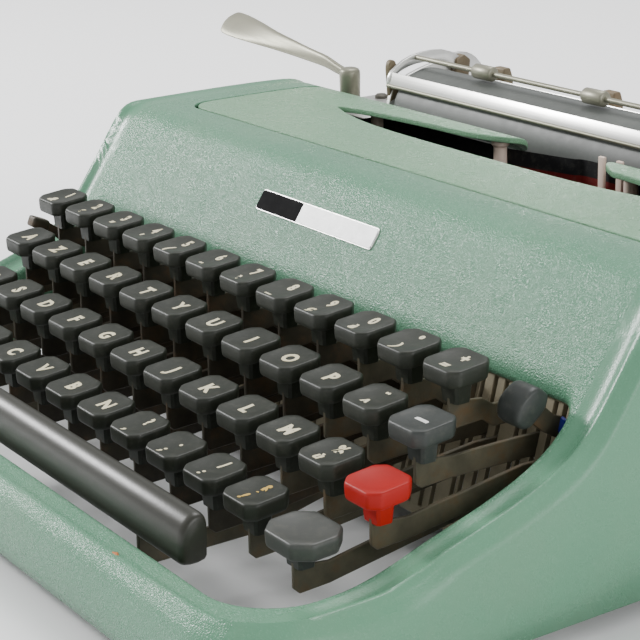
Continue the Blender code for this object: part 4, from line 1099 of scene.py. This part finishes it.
def build_platen():
    part = Piece("platen_roller")
    part.add(on_shaft([(X0 - 2.4, 2.6), (X0 - 2.2, 3), (-94, 3)], 24), "chrome")
    part.add(on_shaft([(-93, 3), (-93, 14), (-92.6, 15), (-92, 15.4), (-91, 15.5), (116, 15.5), (117, 15.4),
                       (117.6, 15), (118, 14), (118, 3)], 96), "rubber")
    part.add(on_shaft([(118, 3), (128, 3)], 24), "chrome")
    # knob with twelve finger grooves; the third value is how deep they are
    rings = []
    for x, r, groove in ((128, 3, 0), (128, 11.8, 0), (128.4, 12.6, 0), (129.6, 14.4, 0.3), (131, 14.9, 1),
                         (138, 15.4, 1), (144, 15.75, 1), (146, 15.4, 0.8), (147, 14.6, 0.4),
                         (147.7, 13.2, 0), (148, 11.4, 0), (147.6, 9.6, 0), (147, 6, 0), (147.2, 0.4, 0)):
        ring = []
        for i in range(96):
            a = 2 * math.pi * i / 96
            cut = r - groove * 1.1 * max(0, math.cos(12 * a)) ** 2
            ring.append((x, AXIS_Y + cut * math.cos(a), AXIS_Z + cut * math.sin(a)))
        rings.append(ring)
    part.add(bm_loft(rings), "knob")
    part.done("platen", "platen_rubber", "platen")


def build_return_lever():
    part = Piece("line_lever")
    part.add(bm_lathe([(75.8, 3.5), (76.2, 3.7), (86.2, 3.9), (87.6, 3.8), (88.4, 3.3), (88.8, 2.4)],
                      (LEVER_X, LEVER_Y), "Z", 36), "olive")
    # along the lever: offset from the pivot, height, half width and lean in degrees
    path = [(-1.5, 0, 86.2, 1.7, 0), (-8, -0.2, 87.6, 1.9, 4), (-15, -0.4, 89.2, 2.2, 8),
            (-26, -0.7, 90.4, 2.5, 16), (-38, -0.9, 91.7, 3, 26), (-50, -1.1, 92.9, 3.7, 36),
            (-62, -1.2, 94.2, 4.9, 45), (-74, -1.3, 95.4, 5.9, 52), (-80.4, -1.4, 96.1, 5.6, 53),
            (-82.2, -1.4, 96.3, 4, 53), (-82.8, -1.4, 96.4, 2.4, 53)]
    rings = []
    for dx, dy, z, half, lean in catmull(path, 3):
        a = math.radians(lean)
        uy, uz = math.sin(a), math.cos(a)
        thick = 1.5 - 0.075 * abs(dx) ** 0.5
        ring = []
        for k in range(20):
            b = 2 * math.pi * k / 20
            u = math.copysign(abs(math.cos(b)) ** 0.7, math.cos(b))
            v = math.copysign(abs(math.sin(b)) ** 0.8, math.sin(b))
            ring.append((LEVER_X + dx, LEVER_Y + dy + uy * half * u + uz * thick * v,
                         z + uz * half * u - uy * thick * v))
        rings.append(ring)
    part.add(bm_loft(rings), "olive")
    part.done("return_lever", "return_lever_metal", "return_lever")


def build_bail():
    """Paper bail: flat scale bar, wire with three rollers, and the arms at both ends."""
    b0, b1 = X0 + 2, X1 - 2
    part = Piece("bail")
    part.add(bm_prism([(69.2, 86.3), (70.2, 86), (72, 90.8), (71, 91.3)], b0, b1), "chrome", 0.2)
    # rib along the lower edge, dark olive as a painted shadow line under the bright bar, and a plain scale
    # of ticks
    part.add(bm_lathe([(b0 + 0.5, 0.75), (b1 - 0.5, 0.75)], (69.7, 86.6), "X", 12), "olive")
    for i in range(84):
        x = b0 + 6 + 2.5 * i
        top = 90.2 if i % 4 == 0 else 89.2
        corners = ((87.6, 0), (top, 0), (top, 0.25), (87.6, 0.25))
        part.add(bm_prism([(69.55 + (z - 86.3) * 0.36 - d, z) for z, d in corners], x - 0.15, x + 0.15),
                 "type")
    arm = smooth_loop([(69.4, 86.6), (70.8, 91.4), (80, 96.2), (94, 96.8), (104, 92), (108.4, 87.4),
                       (108, 81.6), (104, 80), (100.6, 82), (100.4, 87.6), (93, 92.4), (82, 93),
                       (73.4, 90.4), (71, 86.6)])
    for x0 in (b0, b1 - 1.4):
        part.add(bm_prism(arm, x0, x0 + 1.4), "chrome", 0.25)
    part.add(bm_lathe([(b0 + 0.4, 0.9), (b1 - 0.4, 0.9)], (82, 95.3), "X", 16), "olive")
    for x in (-57, -1, 56):
        part.add(bm_lathe([(x - 5, 1.6), (x - 4.8, 2.2), (x - 4.2, 2.6), (x + 4.2, 2.6), (x + 4.8, 2.2),
                           (x + 5, 1.6)], (82, 95.3), "X", 32), "olive")
    part.done("paper_bail", "bail_steel", "paper_bail")


build_carriage()
build_platen()
build_return_lever()
build_bail()


# ---- floor, light and camera -------------------------------------------
def build_stage():
    n = Nodes("pale_floor", rough=0.65)
    n.color(n.mix(n.noise(1.3, 2.0), (0.85, 0.85, 0.855), (0.88, 0.88, 0.885)))
    # painted light: the floor glows, more the farther it lies from the machine, which brightens the
    # backdrop
    far = n.add("VectorMath", {"operation": "LENGTH"})
    n.tree.links.new(n.coord, far.inputs[0])
    painted_glow = n.add("MapRange", {"interpolation_type": "SMOOTHSTEP", "From Min": 0.13, "From Max": 0.42,
                              "To Max": 0.40}, Value=far.outputs["Value"])
    n.bsdf.inputs["Emission Color"].default_value = (1.0, 1.0, 0.99, 1)
    n.tree.links.new(painted_glow.outputs[0], n.bsdf.inputs["Emission Strength"])
    me = bpy.data.meshes.new("floor")
    corners = [(x, y, -0.0004) for x, y in ((-6.0, -6.0), (6.0, -6.0), (6.0, 6.0), (-6.0, 6.0))]
    me.from_pydata(corners, [], [(0, 1, 2, 3)])
    me.materials.append(n.mat)
    new_object("floor", me)
    world = bpy.data.worlds.new("studio")
    world.use_nodes = True
    sky = world.node_tree.nodes["Background"].inputs
    sky["Color"].default_value = (0.93, 0.94, 0.95, 1)
    sky["Strength"].default_value = 0.82
    bpy.context.scene.world = world

    for name, loc, target, size, power in (
            ("key_light", (-1.15, -0.62, 0.72), (0, 0, 0.05), (0.3, 0.3), 23.0),
            ("top_light", (-0.3, 0.5, 1.5), (0, 0, 0), (0.8, 0.8), 18.0),
            ("fill_light", (1.4, 0.0, 0.5), (0, 0, 0.03), (0.9, 0.7), 9.0)):
        light = bpy.data.lights.new(name, "AREA")
        light.shape, light.energy = "RECTANGLE", power
        light.size, light.size_y = size
        ob = new_object(name, light)
        ob.location = loc
        ob.rotation_euler = (Vector(target) - Vector(loc)).to_track_quat("-Z", "Y").to_euler()


build_stage()


def build_camera():
    """Long lens from the right front, looking down on the keys."""
    cam = bpy.data.cameras.new("camera")
    cam.sensor_width, cam.lens = 36.0, 108.394
    cam.shift_x, cam.shift_y = 0.0024, 0.002
    cam.clip_start, cam.clip_end = 0.01, 50.0
    ob = new_object("camera", cam)
    ob.location = (Vector((453.0, -331.8, 218.4)) + ORIGIN) * MM
    ob.rotation_euler = [math.radians(v) for v in (72.0924, 1.2091, 55.6916)]
    bpy.context.scene.camera = ob


build_camera()
